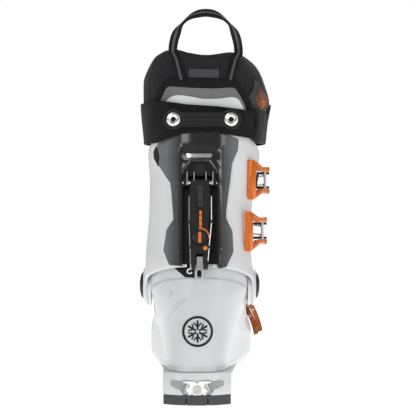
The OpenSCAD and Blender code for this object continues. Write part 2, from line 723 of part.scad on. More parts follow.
module upper_frame() translate(upper_at) rotate([0, 0, cuff_turn]) children();
module lower_frame() translate(lower_at) rotate([0, 0, cuff_turn]) children();
module instep_frame() translate(instep_at) rotate([0, shell_turn, 0]) rotate([90, 0, 0]) children();
module toe_frame() translate(toe_at) rotate([0, shell_turn, 0]) rotate([90, 0, 0]) children();

bail_u = 10;
bail_v = 2.7;
// Distance of a bail's two wires from its middle
wire_side = 4.4;

// Curved strip seen along the pin, from the hinge to the handle.
module strip_2d(len) intersection() {
    difference() {
        translate([len / 2, -84]) circle(r = 90, $fn = 160);
        translate([len / 2, -84]) circle(r = 85, $fn = 160);
    }
    translate([-1, -30]) square([len + 2, 60]);
}

module lever_body(len, tip_w) difference() {
    union() {
        intersection() {
            translate([0, 0, -40]) linear_extrude(80) strip_2d(len);
            // frame with a window, wider at the handle
            translate([0, 20, 0]) rotate([90, 0, 0]) linear_extrude(60) difference() {
                polygon([[-3, 13], [len * 0.6, 12.4], [len, tip_w], [len, -tip_w], [len * 0.6, -12.4],
                    [-3, -13]]);
                polygon([[-4, 8.4], [len * 0.6, 8.4], [len - 5, tip_w - 4.5], [len - 5, -tip_w + 4.5],
                    [len * 0.6, -8.4], [-4, -8.4]]);
            }
        }
        for (s = [-1, 1]) translate([0, 0, s * 10.7 - 2.3]) cylinder(r = 4.4, h = 4.6, $fn = 48);
    }
    translate([0, 0, -20]) cylinder(r = pin_r + 0.05, h = 40, $fn = 48);
    translate([bail_u, bail_v, -20]) cylinder(r = wire_r + 0.35, h = 40, $fn = 32);
}

module upper_lever() color("darkorange") upper_frame() lever_body(50, 19);
module lower_lever() color("darkorange") lower_frame() lever_body(50, 19);
module instep_lever() color("chocolate") instep_frame() lever_body(33, 13);
module toe_lever() color("chocolate") toe_frame() lever_body(30, 13);

// Two ears that hold the stub pins of a buckle, long enough to reach the boot's surface.
module ears() for (s = [-1, 1]) translate([0, 0, s * 6.9 - 1.1]) linear_extrude(2.2) difference() {
    union() {
        circle(r = 4.2, $fn = 32);
        polygon([[-4.2, 0], [4.2, 0], [8, -16], [-8, -16]]);
    }
    circle(r = pin_r + 0.2, $fn = 32);
}

module stub_pins() for (s = [-1, 1]) translate([0, 0, s * 9.4 - 3.5]) cylinder(r = pin_r, h = 7, $fn = 48);

// Foot plate under the ears, a band of the boot's own surface.
module foot_block() translate([-15, -18, -8]) cube([28, 17, 16]);

module cuff_base(z) carved() difference() {
    union() {
        children(0);
        intersection() {
            cuff_solid(z - 12, z + 12, 2, 2.4);
            children(1);
        }
    }
    cuff_solid(z - 14, z + 14, 2, 0.35);
}

module shell_base(z) carved() difference() {
    union() {
        children(0);
        intersection() {
            shell_solid(z - 24, z + 12, 6, 2.6);
            children(1);
        }
    }
    shell_solid(z - 28, z + 16, 18, 0.6);
    // stops short of the instep flap
    translate([-flap_edge, 100, 0]) cube([2 * flap_edge + 0.5, 200, 200]);
}

module upper_base() color("#202022") cuff_base(upper_at[2]) {
    upper_frame() ears();
    upper_frame() foot_block();
}
module lower_base() color("#202022") cuff_base(lower_at[2]) {
    lower_frame() ears();
    lower_frame() foot_block();
}
module instep_base() color("#202022") shell_base(instep_at[2]) {
    instep_frame() ears();
    instep_frame() foot_block();
}
module toe_base() color("#202022") shell_base(toe_at[2]) {
    toe_frame() ears();
    toe_frame() foot_block();
}

module upper_pins() color("silver") upper_frame() stub_pins();
module lower_pins() color("silver") lower_frame() stub_pins();
module instep_pins() color("silver") instep_frame() stub_pins();
module toe_pins() color("silver") toe_frame() stub_pins();

// Bail of a cuff buckle: two wires that follow the cuff round and up to the ladder.
upper_climb = 8;
lower_climb = 28;
function cuff_bail_path(at, climb, dz) = concat(
    [[at[0] + bail_u * cos(cuff_turn) - bail_v * sin(cuff_turn),
        at[1] + bail_u * sin(cuff_turn) + bail_v * cos(cuff_turn), at[2] + wire_side * dz]],
    [for (i = [0 : 11]) let (turn = mix(64, -14, i / 11), z = at[2] + climb * smooth(i / 9),
        p = cuff_pt(z, turn, mix(13, 7.5, smooth(i / 5))))
        [p[0], p[1], z + dz * mix(wire_side, 7, i / 11)]]);

module cuff_bail(at, climb) carved() {
    for (s = [-1, 1]) sweep(cuff_bail_path(at, climb, s), ring_section(wire_r), [0, 0, 1]);
    first = cuff_bail_path(at, climb, 0)[0];
    last = cuff_bail_path(at, climb, 0)[12];
    translate(first - [0, 0, 12]) cylinder(r = wire_r, h = 24, $fn = 16);
    translate(last - [0, 0, 8.2]) cylinder(r = wire_r + 0.1, h = 16.4, $fn = 16);
}

module upper_bail() color("silver") cuff_bail(upper_at, upper_climb);
module lower_bail() color("silver") cuff_bail(lower_at, lower_climb);

// Bail of a shell buckle over the instep: a rise from the crossbar and a flat run to the ladder.
function shell_bail_path(at, dy) =
    let (c = [at[0] + bail_u * cos(shell_turn) + bail_v * sin(shell_turn),
        at[2] - bail_u * sin(shell_turn) + bail_v * cos(shell_turn)])
    [for (p = [[0, 0], [-1, 9], [-8, 18], [-18, 24.5], [-32, 29], [-50, 32], [-66, 32]])
        [c[0] + p[0], at[1] + dy, c[1] + p[1]]];

module shell_bail(at) carved() {
    for (s = [-1, 1]) sweep(shell_bail_path(at, wire_side * s), ring_section(wire_r), [0, 1, 0]);
    first = shell_bail_path(at, 0)[0];
    last = shell_bail_path(at, 0)[6];
    translate([first[0], at[1] + 12, first[2]]) rotate([90, 0, 0]) cylinder(r = wire_r, h = 24, $fn = 16);
    translate([last[0], at[1] + 6, last[2]]) rotate([90, 0, 0]) cylinder(r = wire_r + 0.1, h = 12, $fn = 16);
}

module instep_bail() color("silver") shell_bail(instep_at);
module toe_bail() color("silver") shell_bail(toe_at);

// Toothed ladder on the inner flap of the cuff.
module cuff_ladder(z) carved() {
    intersection() {
        difference() {
            cuff_solid(z - 6, z + 6, 2, 2.4);
            cuff_solid(z - 8, z + 8, 2, 0.3);
        }
        translate([-40, 90, z - 6]) cube([31.6, 60, 12]);
    }
    for (i = [0 : 4]) let (p = cuff_pt(z, -13 - 4.4 * i, 2))
        translate(p) rotate([0, 0, 14 + 6 * i]) translate([-1.2, -0.5, -5]) cube([1.6, 3, 10]);
}

module upper_ladder() color("#202022") cuff_ladder(upper_at[2] + upper_climb);
module lower_ladder() color("#202022") cuff_ladder(lower_at[2] + lower_climb);

// Toothed ladder on the inner flap of the shell.
module shell_ladder(at) carved() for (part = [[7, -36, 28], for (i = [0 : 5]) [11, -34 + 4 * i, 1.8]])
    intersection() {
        difference() {
            shell_solid(61, 111, 9, part[0]);
            shell_solid(57, 117, 13, 0.9);
        }
        translate([part[1], at[1] - 6.2, 68]) cube([part[2], 12.4, 60]);
    }

module instep_ladder() color("#202022") shell_ladder(instep_at);
module toe_ladder() color("#202022") shell_ladder(toe_at);

lower_shell();
heel_block();
toe_block();
heel_tread();
toe_tread();
heel_screws();
toe_screws();
heel_fitting();
fitting_screw();
toe_fitting();
boot_board();
insole();
liner_foot();
rear_insert();
heel_emblem();
hinge_bolt_inner();
hinge_bolt_outer();
instep_base();
toe_base();
instep_pins();
toe_pins();
instep_ladder();
toe_ladder();
cuff_shell();
hinge_bush_inner();
hinge_bush_outer();
spine_panel();
mech_housing();
lever_axle();
cuff_spoiler();
power_strap();
strap_plate();
strap_rivets();
strap_keeper();
liner_shaft();
liner_tongue();
liner_label();
liner_patch();
pull_loop();
upper_base();
lower_base();
upper_pins();
lower_pins();
upper_ladder();
lower_ladder();
walk_lever();
lever_wires();
lock_bar();
mode_dial();
upper_lever();
lower_lever();
instep_lever();
toe_lever();
upper_bail();
lower_bail();
instep_bail();
toe_bail();
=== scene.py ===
"""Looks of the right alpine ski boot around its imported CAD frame."""
import math

import bmesh
import bpy
import numpy as np
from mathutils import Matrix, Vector


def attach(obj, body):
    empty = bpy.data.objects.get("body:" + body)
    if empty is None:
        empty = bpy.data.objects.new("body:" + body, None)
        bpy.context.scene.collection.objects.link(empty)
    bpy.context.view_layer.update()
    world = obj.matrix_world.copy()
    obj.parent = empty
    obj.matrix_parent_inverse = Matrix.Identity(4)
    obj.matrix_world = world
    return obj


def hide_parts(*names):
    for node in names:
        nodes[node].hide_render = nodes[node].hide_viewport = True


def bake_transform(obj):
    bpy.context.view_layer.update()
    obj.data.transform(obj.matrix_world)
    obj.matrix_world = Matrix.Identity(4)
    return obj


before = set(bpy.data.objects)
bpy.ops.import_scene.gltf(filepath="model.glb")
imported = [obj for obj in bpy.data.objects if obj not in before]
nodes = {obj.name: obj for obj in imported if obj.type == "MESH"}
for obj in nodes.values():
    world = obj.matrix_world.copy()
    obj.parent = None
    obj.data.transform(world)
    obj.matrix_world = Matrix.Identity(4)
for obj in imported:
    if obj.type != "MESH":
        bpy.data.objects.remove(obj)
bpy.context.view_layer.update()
MM = 0.001
HEEL_REAR = -32.0
MECH_X, AXLE_Y, AXLE_Z = 2.5, -14, 205.5
LEAN = math.radians(13.7)

# ---------- camera, lights, floor ----------

CAMERA_X, CAMERA_Z = 0.0101, 0.182
CAMERA_BACK, LENS = 1.5, 141
WORLD_LIGHT, FLOOR_GLOW = 0.34, 0.72
FLOOR_HALF, FLOOR_DROP = 6, 0.0005


def show(name, data):
    obj = bpy.data.objects.new(name, data)
    bpy.context.scene.collection.objects.link(obj)
    return obj


def place_camera():
    data = bpy.data.cameras.new("camera")
    data.lens, data.sensor_width = LENS, 36
    camera = show("camera", data)
    camera.location = (CAMERA_X, HEEL_REAR * MM - CAMERA_BACK, CAMERA_Z)
    camera.rotation_euler = (math.radians(90), 0, 0)
    bpy.context.scene.camera = camera


def area_light(name, place, aim, size, power):
    data = bpy.data.lights.new(name, "AREA")
    data.shape = "RECTANGLE"
    data.size, data.size_y = size
    data.energy = power
    light = show(name, data)
    light.location = place
    light.rotation_euler = (Vector(aim) - Vector(place)).to_track_quat("-Z", "Y").to_euler()


def studio():
    world = bpy.data.worlds.new("studio")
    bpy.context.scene.world = world
    world.use_nodes = True
    tree = world.node_tree
    background = tree.nodes["Background"]
    background.inputs[0].default_value = (1, 1, 1, 1)
    # white behind the object, dimmer as a light
    path = add(tree, "ShaderNodeLightPath")
    strength = add(tree, "ShaderNodeMapRange", To_Min=WORLD_LIGHT, To_Max=1.0,
                   Value=path.outputs["Is Camera Ray"])
    tree.links.new(strength.outputs["Result"], background.inputs[1])
    area_light("key", (-0.55, -1.35, 0.95), (0, 0, 0.17), (0.5, 0.9), 5.2)
    area_light("side", (1.1, -0.9, 0.45), (0, 0.05, 0.2), (0.35, 1.1), 2.6)
    area_light("rim", (0.5, 1.4, 0.9), (0, 0.1, 0.2), (1.0, 0.6), 9)
    bpy.context.scene.view_settings.view_transform = "Standard"
    mesh = bpy.data.meshes.new("floor")
    mesh.from_pydata([(x * FLOOR_HALF, y * FLOOR_HALF, 0)
                      for x, y in ((-1, -1), (1, -1), (1, 1), (-1, 1))], [], [(0, 1, 2, 3)])
    floor = show("floor", mesh)
    floor.location.z = -FLOOR_DROP
    paint, _, shader = new_material("floor_paint")
    dress(shader, Base_Color=(0.93, 0.93, 0.93, 1), Roughness=0.9, Emission_Color=(1, 1, 1, 1),
          Emission_Strength=FLOOR_GLOW)
    mesh.materials.append(paint)


# ---------- materials ----------

def new_material(name):
    material = bpy.data.materials.new(name)
    material.use_nodes = True
    return material, material.node_tree, material.node_tree.nodes["Principled BSDF"]


def dress(node, **values):
    """Sets a node's sockets: a socket is linked in, and anything else is its value."""
    for key, value in values.items():
        socket = node.inputs[key.replace("_", " ")]
        if isinstance(value, bpy.types.NodeSocket):
            node.id_data.links.new(value, socket)
        else:
            socket.default_value = value
    return node


def add(tree, kind, **values):
    return dress(tree.nodes.new(kind), **values)


def arithmetic(tree, operation, *operands):
    """Result of a maths node; None leaves an operand as it is."""
    node = tree.nodes.new("ShaderNodeMath")
    node.operation = operation
    for socket, value in zip(node.inputs, operands):
        if isinstance(value, bpy.types.NodeSocket):
            tree.links.new(value, socket)
        elif value is not None:
            socket.default_value = value
    return node.outputs[0]


def blend_colors(tree, factor, a, b):
    node = tree.nodes.new("ShaderNodeMix")
    node.data_type = "RGBA"
    dress(node, B=(*b, 1), Factor=factor)
    if isinstance(a, tuple):
        node.inputs["A"].default_value = (*a, 1)
    else:
        tree.links.new(a, node.inputs["A"])
    return node.outputs["Result"]


def object_point(tree):
    return tree.nodes.new("ShaderNodeTexCoord").outputs["Object"]


def color_ramp(tree, fac, low, high, start=0.0, end=1.0):
    ramp = add(tree, "ShaderNodeValToRGB", Fac=fac)
    for element, spot, color in zip(ramp.color_ramp.elements, (start, end), (low, high)):
        element.position = spot
        element.color = (*color, 1)
    return ramp.outputs["Color"]


def bump(tree, shader, height, strength, distance):
    node = add(tree, "ShaderNodeBump", Strength=strength, Distance=distance, Height=height)
    dress(shader, Normal=node.outputs["Normal"])


def mottled(tree, fac, color, amount, start=0.3, end=0.7):
    tones = [tuple(min(1, c * (1 + share)) for c in color) for share in (-amount, amount)]
    return color_ramp(tree, fac, *tones, start, end)


def moulded(name, color, rough=0.32, grain=2200, grain_depth=0.00003, coat=0.0, mottle=0.06,
            subsurface=0.0, edge=None, specular=0.5):
    """Injection-moulded plastic: faint mottling, fine grain, slightly uneven gloss, and where edge
    is a colour, convex edges painted lighter towards it, a painted highlight where they catch light."""
    material, tree, shader = new_material(name)
    where = object_point(tree)
    clouds = add(tree, "ShaderNodeTexNoise", Scale=38.0, Detail=4.0, Vector=where).outputs["Fac"]
    fine = add(tree, "ShaderNodeTexNoise", Scale=float(grain), Detail=3.0, Vector=where)
    tone = mottled(tree, clouds, color, mottle)
    # painted highlight: convex edges, found by pointiness, lightened towards the edge colour
    if edge:
        geometry = tree.nodes.new("ShaderNodeNewGeometry")
        ramp = color_ramp(tree, geometry.outputs["Pointiness"], (0, 0, 0), (1, 1, 1), 0.52, 0.6)
        tone = blend_colors(tree, arithmetic(tree, "MULTIPLY", ramp, 0.5), tone, edge)
    gloss = color_ramp(tree, clouds, (rough * 0.85,) * 3, (rough * 1.2,) * 3, 0.3, 0.7)
    dress(shader, Base_Color=tone, Roughness=gloss, Coat_Weight=coat, Coat_Roughness=0.12,
          Subsurface_Weight=subsurface, Subsurface_Scale=0.004, Specular_IOR_Level=specular)
    bump(tree, shader, fine.outputs["Fac"], 0.35, grain_depth)
    return material


def metal(name, color, rough=0.25, brushed=(900, 60, 60), depth=0.00002, mottle=0.08, metallic=1.0):
    """Bare or anodised metal with fine directional scratches."""
    material, tree, shader = new_material(name)
    where = add(tree, "ShaderNodeMapping", Vector=object_point(tree), Scale=brushed)
    lines = add(tree, "ShaderNodeTexNoise", Scale=6.0, Detail=6.0,
                Vector=where.outputs["Vector"]).outputs["Fac"]
    gloss = color_ramp(tree, lines, (rough * 0.7,) * 3, (rough * 1.4,) * 3, 0.3, 0.7)
    dress(shader, Base_Color=mottled(tree, lines, color, mottle, 0.35, 0.65), Roughness=gloss,
          Metallic=metallic)
    bump(tree, shader, lines, 0.3, depth)
    return material


def woven(name, color, pitch, depth, rough, sheen, contrast):
    """Cloth with a crossed thread pattern, round the boot and up it."""
    material, tree, shader = new_material(name)
    where = object_point(tree)
    split = add(tree, "ShaderNodeSeparateXYZ", Vector=where)
    wobble = add(tree, "ShaderNodeTexNoise", Scale=260.0, Detail=2.0, Vector=where)
    turn = 2 * math.pi / pitch
    across = arithmetic(tree, "ADD", split.outputs["X"], split.outputs["Y"])
    threads = [arithmetic(tree, "SINE", arithmetic(tree, "MULTIPLY", way, turn))
               for way in (across, split.outputs["Z"])]
    lift = arithmetic(tree, "MULTIPLY_ADD", arithmetic(tree, "MULTIPLY", *threads), 0.35, 0.5)
    weave = arithmetic(tree, "MULTIPLY_ADD", wobble.outputs["Fac"], 0.35, lift)
    dress(shader, Base_Color=mottled(tree, weave, color, contrast, 0.4, 0.95), Roughness=rough,
          Sheen_Weight=sheen, Sheen_Roughness=0.4, Specular_IOR_Level=0.25)
    bump(tree, shader, weave, 0.8, depth)
    return material


def smoked_plastic(name):
    """Glossy tinted plastic, near black at the spine's middle and painted paler towards its sides, painted
    light on the panel's turned wings.
    """
    material, tree, shader = new_material(name)
    where = object_point(tree)
    split = add(tree, "ShaderNodeSeparateXYZ", Vector=where)
    # painted light: the tone pales with distance from the spine's middle
    reach = arithmetic(tree, "ABSOLUTE", arithmetic(tree, "SUBTRACT", split.outputs["X"], MECH_X * MM))
    across = add(tree, "ShaderNodeMapRange", From_Min=0.014, From_Max=0.034, Value=reach)
    clouds = add(tree, "ShaderNodeTexNoise", Scale=30.0, Detail=3.0, Vector=where)
    side_light_and_mottle = arithmetic(tree, "MULTIPLY_ADD", clouds.outputs["Fac"], 0.25, across.outputs["Result"])
    tone = color_ramp(tree, side_light_and_mottle, (0.007, 0.007, 0.008), (0.16, 0.162, 0.168), 0.3, 1.15)
    dress(shader, Base_Color=tone, Roughness=0.2, Coat_Weight=0.5, Coat_Roughness=0.1)
    fine = add(tree, "ShaderNodeTexNoise", Scale=2400.0, Detail=2.0, Vector=where)
    bump(tree, shader, fine.outputs["Fac"], 0.2, 0.00001)
    return material


def dotted_cloth(name):
    """Dark cloth with orange dots that fade away from the diamond's middle."""
    material, tree, shader = new_material(name)
    where = object_point(tree)
    shift = add(tree, "ShaderNodeMapping", Location=(-0.066, -0.034, -0.284), Vector=where)
    reach = tree.nodes.new("ShaderNodeVectorMath")
    reach.operation = "LENGTH"
    tree.links.new(shift.outputs["Vector"], reach.inputs[0])
    dots = add(tree, "ShaderNodeTexVoronoi", Scale=620.0, Vector=where).outputs["Distance"]
    glow = add(tree, "ShaderNodeMapRange", From_Min=0.004, From_Max=0.017, To_Min=0.62, To_Max=0.05,
               Value=reach.outputs["Value"])
    dot = arithmetic(tree, "LESS_THAN", dots, glow.outputs["Result"])
    dress(shader, Base_Color=blend_colors(tree, dot, (0.05, 0.038, 0.032), (0.55, 0.12, 0.02)),
          Roughness=0.75)
    bump(tree, shader, dots, 0.5, 0.0002)
    return material


# ---------- mesh tools ----------

def smooth_table(table):
    """Smooth curve through the knots of a table, flat where the table turns back."""
    x = np.array([row[0] for row in table], float)
    y = np.array([row[1] for row in table], float)
    h = np.diff(x)
    d = np.diff(y) / h
    slope = np.zeros_like(x)
    for i in range(1, len(x) - 1):
        if d[i - 1] * d[i] > 0:
            w1, w2 = 2 * h[i] + h[i - 1], h[i] + 2 * h[i - 1]
            slope[i] = (w1 + w2) / (w1 / d[i - 1] + w2 / d[i])
    slope[0], slope[-1] = d[0], d[-1]

    def value(at):
        at = np.clip(np.asarray(at, float), x[0], x[-1])
        i = np.clip(np.searchsorted(x, at, side="right") - 1, 0, len(x) - 2)
        t = (at - x[i]) / h[i]
        return ((2 * t**3 - 3 * t**2 + 1) * y[i] + (t**3 - 2 * t**2 + t) * h[i] * slope[i]
                + (3 * t**2 - 2 * t**3) * y[i + 1] + (t**3 - t**2) * h[i] * slope[i + 1])

    return value


def smooth_step(k):
    k = np.clip(k, 0, 1)
    return k * k * (3 - 2 * k)


def mix(a, b, k):
    return a + (b - a) * k


def spow(v, p):
    return np.sign(v) * np.abs(v) ** p


def make_object(name, verts, faces, materials, face_materials=None, crease=math.radians(34)):
    """Smooth-shaded mesh object, sharp where its faces meet at more than the crease angle."""
    mesh = bpy.data.meshes.new(name)
    mesh.from_pydata([tuple(v) for v in verts], [], faces)
    mesh.validate()
    mesh.update()
    for material in materials:
        mesh.materials.append(material)
    if face_materials is not None:
        mesh.polygons.foreach_set("material_index", face_materials)
    finish_mesh(mesh, crease)
    return show(name, mesh)


def finish_mesh(mesh, crease):
    bm = bmesh.new()
    bm.from_mesh(mesh)
    bmesh.ops.recalc_face_normals(bm, faces=bm.faces)
    for face in bm.faces:
        face.smooth = True
    for edge in bm.edges:
        edge.smooth = len(edge.link_faces) == 2 and edge.calc_face_angle(0) < crease
    bm.to_mesh(mesh)
    bm.free()
    mesh.update()


def ring_faces(rows, columns, closed=True, loop=False):
    """Quads between rows of points. Each row wraps round where it is closed, and with loop the last
    row joins the first."""
    return [(i * columns + j, i * columns + (j + 1) % columns,
             (i + 1) % rows * columns + (j + 1) % columns, (i + 1) % rows * columns + j)
            for i in range(rows if loop else rows - 1)
            for j in range(columns if closed else columns - 1)]


def cap_faces(columns, start, flip=False):
    """Strips across a ring whose columns run round from the front, left and right in step."""
    faces = []
    for j in range(columns // 2):
        ends = (j, j + 1, (columns - j - 1) % columns, (columns - j) % columns)
        corners = [start + end for end in dict.fromkeys(ends)]
        if len(corners) > 2:
            faces.append(tuple(reversed(corners)) if flip else tuple(corners))
    return faces


def prism(name, near, far, material):
    """Solid between two matching outlines."""
    n = len(near)
    faces = [tuple(range(n)), tuple(reversed(range(n, 2 * n)))]
    faces += [(i, (i + 1) % n, n + (i + 1) % n, n + i) for i in range(n)]
    return make_object(name, near + far, faces, [material] if material else [])


def bevel(obj, width, segments=2, angle=40, weld=False):
    if weld:
        join = obj.modifiers.new("weld", "WELD")
        join.merge_threshold = 0.00001
    mod = obj.modifiers.new("bevel", "BEVEL")
    mod.width = width
    mod.segments = segments
    mod.limit_method = "ANGLE"
    mod.angle_limit = math.radians(angle)
    return obj


def tube(name, path, radius, material, sides=10):
    """Round bar along a path of points in metres."""
    path = [Vector(p) for p in path]
    n = len(path)
    verts, normal = [], None
    for i, p in enumerate(path):
        tangent = (path[min(i + 1, n - 1)] - path[max(i - 1, 0)]).normalized()
        if normal is None:
            seed = Vector((0, 0, 1)) if abs(tangent.z) < 0.9 else Vector((1, 0, 0))
            normal = (seed - tangent * seed.dot(tangent)).normalized()
        else:
            normal = (normal - tangent * normal.dot(tangent)).normalized()
        other = tangent.cross(normal)
        for a in (2 * math.pi * k / sides for k in range(sides)):
            verts.append(p + normal * (radius * math.cos(a)) + other * (radius * math.sin(a)))
    faces = ring_faces(n, sides)
    faces += [tuple(reversed(range(sides))), tuple(range((n - 1) * sides, n * sides))]
    return make_object(name, verts, faces, [material], crease=math.radians(60))


def corner(a, b, c, radius, share, steps):
    """Curve that takes the corner b off the way from a to c."""
    start, end = (b + (p - b).normalized() * min(radius, (p - b).length * share) for p in (a, c))
    return [start * (1 - t) ** 2 + b * 2 * t * (1 - t) + end * t * t
            for t in (k / steps for k in range(steps + 1))]


def rounded(path, radius):
    """Path with each inner corner replaced by a curve."""
    path = [Vector(p) for p in path]
    out = [path[0]]
    for a, b, c in zip(path, path[1:], path[2:]):
        out += corner(a, b, c, radius, 0.49, 5)
    return out + [path[-1]]


def hinge_turned(name, profile, side, material, steps=72, crease=math.radians(40)):
    """Turned piece on the hinge axis, on the inner (-1) or outer (1) side of the cuff. Profile points
    are (radius, depth into the boot) in metres."""
    axis = Vector((-side, 0, 0))
    centre = Vector((HINGE_FACE[side], HINGE_Y, HINGE_Z)) * MM
    u = axis.cross(Vector((0, 0, 1)))
    v = axis.cross(u)
    verts = []
    for a in (2 * math.pi * i / steps for i in range(steps)):
        d = u * math.cos(a) + v * math.sin(a)
        verts += [centre + d * r + axis * h for r, h in profile]
    m = len(profile)
    faces = [(i * m + j, (i + 1) % steps * m + j, (i + 1) % steps * m + j + 1, i * m + j + 1)
             for i in range(steps) for j in range(m - 1)]
    obj = make_object(name, verts, faces, [material], crease=crease)
    bm = bmesh.new()
    bm.from_mesh(obj.data)
    bmesh.ops.remove_doubles(bm, verts=bm.verts, dist=1e-7)
    bmesh.ops.holes_fill(bm, edges=[e for e in bm.edges if e.is_boundary])
    bm.to_mesh(obj.data)
    bm.free()
    finish_mesh(obj.data, crease)
    return obj


def patch(name, outline, surface, height, base, material, holes=(), grid=0.003, low_bevel=0.0006):
    """Plate over a rear or side surface. The outline is in the surface's two directions, in
    millimetres; surface gives the point and outward normal there. The plate lies between base and
    height above it, and height is a number or a function of the place."""
    outline, *holes = ([(x * MM, z * MM) for x, z in loop] for loop in (outline, *holes))
    bm = bmesh.new()
    for loop in (outline, *holes):
        verts = [bm.verts.new((x, 0, z)) for x, z in loop]
        for a, b in zip(verts, verts[1:] + verts[:1]):
            bm.edges.new((a, b))
    bmesh.ops.triangle_fill(bm, edges=bm.edges[:], use_beauty=True)
    xs, zs = zip(*outline)
    lines = [((x, 0, 0), (1, 0, 0)) for x in np.arange(min(xs) + grid, max(xs), grid)]
    lines += [((0, 0, z), (0, 0, 1)) for z in np.arange(min(zs) + grid, max(zs), grid)]
    for place, normal in lines:
        bmesh.ops.bisect_plane(bm, geom=bm.verts[:] + bm.edges[:] + bm.faces[:], plane_co=place,
                               plane_no=normal)
    bmesh.ops.remove_doubles(bm, verts=bm.verts, dist=1e-6)
    bm.verts.ensure_lookup_table()
    bm.verts.index_update()
    flat = [(v.co.x, v.co.z) for v in bm.verts]
    faces = [[v.index for v in f.verts] for f in bm.faces]
    rim = [(e.verts[0].index, e.verts[1].index) for e in bm.edges if e.is_boundary]
    bm.free()
    count = len(flat)
    verts = []
    for layer in (0, 1):
        for x, z in flat:
            point, normal = surface(x, z)
            rise = height(x, z) if callable(height) else height
            verts.append(point + normal * (base if layer else rise))
    all_faces = [tuple(f) for f in faces] + [tuple(i + count for i in reversed(f)) for f in faces]
    all_faces += [(a, b, b + count, a + count) for a, b in rim]
    obj = make_object(name, verts, all_faces, [material])
    if low_bevel:
        bevel(obj, low_bevel, 2, 50)
    return obj


def ride_as(obj, body, slot, *replaced):
    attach(obj, body)
    if replaced:
        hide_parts(*replaced)
    return obj


# ---------- outlines that the CAD model is built on, in millimetres ----------

HINGE_Y, HINGE_Z = 53, 107
HINGE_FACE = {-1: -53.4, 1: 57.4}
BARREL_X, BARREL_HALF, ANKLE_R = 1.6, 48.2, 75
SHELL_WALL = 4.6

SHELL_REAR = smooth_table([[20, -24], [32, -28], [50, -29.5], [70, -28.5], [90, -25.5],
                           [107, -22.5], [130, -19], [150, -12]])
SHELL_FRONT = smooth_table([[20, 252], [28, 262], [40, 266], [52, 262], [62, 254], [70, 238],
                            [78, 212], [88, 178], [98, 152], [107, 137], [114, 130], [127, 126],
                            [150, 116]])
HEEL_OUTER = smooth_table([[20, 30], [40, 33], [56, 37], [75, 42], [93, 46], [107, 49], [150, 49]])
HEEL_INNER = smooth_table([[20, 30], [40, 32], [56, 35], [75, 39], [93, 43], [107, 46], [150, 46]])
BALL_OUTER = smooth_table([[20, 37], [28, 47], [40, 54], [58, 54], [75, 50], [90, 48], [150, 46]])
BALL_INNER = smooth_table([[20, 35], [28, 42], [40, 48], [58, 48], [75, 45], [90, 43], [150, 42]])
HEEL_CURVE = smooth_table([[20, 3.6], [45, 3.3], [80, 2.6], [107, 2.4]])
TOE_CURVE = smooth_table([[20, 2.5], [45, 2.7], [80, 2.4]])

CUFF = [smooth_table(t) for t in (
    [[85, -22], [107, -28], [127, -26.5], [150, -20.5], [175, -14.5], [205, -7], [230, -2], [255, 1]],
    [[85, 128], [107, 132], [150, 124], [175, 124], [200, 128], [230, 134], [255, 138]],
    [[85, 55], [107, 55.5], [130, 52.5], [150, 51], [175, 52], [200, 55], [230, 60], [255, 62]],
    [[85, 50], [107, 51.5], [130, 50.5], [150, 49], [175, 47], [200, 46.5], [230, 48], [255, 50]])]
LINER = [smooth_table(t) for t in (
    [[100, -12], [130, -14], [150, -13], [200, -2], [251, 6], [285, 8], [331, 16]],
    [[100, 108], [130, 112], [150, 117], [200, 121], [251, 130], [285, 137], [331, 141]],
    [[100, 44], [130, 45], [175, 46.5], [230, 54], [251, 57], [262, 62], [285, 70.5], [305, 65.5],
     [320, 58], [331, 46]],
    [[100, 41], [130, 43], [175, 41.5], [230, 43], [251, 45], [262, 50], [285, 53], [305, 53],
     [325, 45], [331, 38]])]
STRAP_LOW, STRAP_HIGH = 243, 284


def oval(rear, front, outer, inner, z, turn, grow, curve=2.4):
    side = np.where(np.sin(turn) >= 0, outer, inner)
    x = (side + grow) * spow(np.sin(turn), 2 / curve)
    y = (front + rear) / 2 + ((front - rear) / 2 + grow) * spow(np.cos(turn), 2 / curve)
    return np.stack([x, y, z + 0 * x], -1)


def cuff_point(z, turn, grow=0.0):
    return oval(*(t(z) for t in CUFF), z, turn, grow)


def liner_point(z, turn, grow=0.0):
    return oval(*(t(z) for t in LINER), z, turn, grow)


def strap_point(z, turn, grow=0.0):
    k = (z - STRAP_LOW) / (STRAP_HIGH - STRAP_LOW)
    return oval(mix(-6, -1, k), 147, mix(66, 72, k), mix(53, 56, k), z, turn, grow)


def shell_point(z, turn, grow=0.0, drop=0.0):
    z, turn = np.broadcast_arrays(np.asarray(z, float), np.asarray(turn, float))
    rear, front = SHELL_REAR(z), SHELL_FRONT(z + drop)
    n = np.where(np.cos(turn) < 0, HEEL_CURVE(z), TOE_CURVE(z))
    y = (front + rear) / 2 + ((front - rear) / 2 + grow) * spow(np.cos(turn), 2 / n)
    k = smooth_step((y - 20) / 110)
    w = np.where(np.sin(turn) >= 0, mix(HEEL_OUTER(z), BALL_OUTER(z), k),
                 mix(HEEL_INNER(z), BALL_INNER(z), k))
    dx, dy, dz = (w + grow) * spow(np.sin(turn), 2 / n) - BARREL_X, y - HINGE_Y, z - HINGE_Z

    def inside(share):
        across = np.abs(share * dx) / (BARREL_HALF + grow)
        return across**3.2 + (np.hypot(share * dy, dz) / (ANKLE_R + grow)) ** 2.2 < 1

    low, high = np.zeros_like(z), np.ones_like(z)
    for _ in range(16):
        middle = (low + high) / 2
        fits = inside(middle)
        low, high = np.where(fits, middle, low), np.where(fits, high, middle)
    share = np.where((dz < 0) | inside(1.0), 1.0, low)
    return np.stack([BARREL_X + share * dx, HINGE_Y + share * dy, z + 0 * dx], -1)


def even_turns(point, z, count):
    """Turns round an outline at equal steps of its length, left and right in step."""
    fine = np.linspace(0, math.pi, 8001)
    spots = point(z, fine)
    along = np.concatenate([[0], np.cumsum(np.linalg.norm(np.diff(spots, axis=0), axis=1))])
    half = np.interp(np.linspace(0, along[-1], count // 2 + 1), along, fine)
    return np.concatenate([half, 2 * math.pi - half[-2:0:-1]])


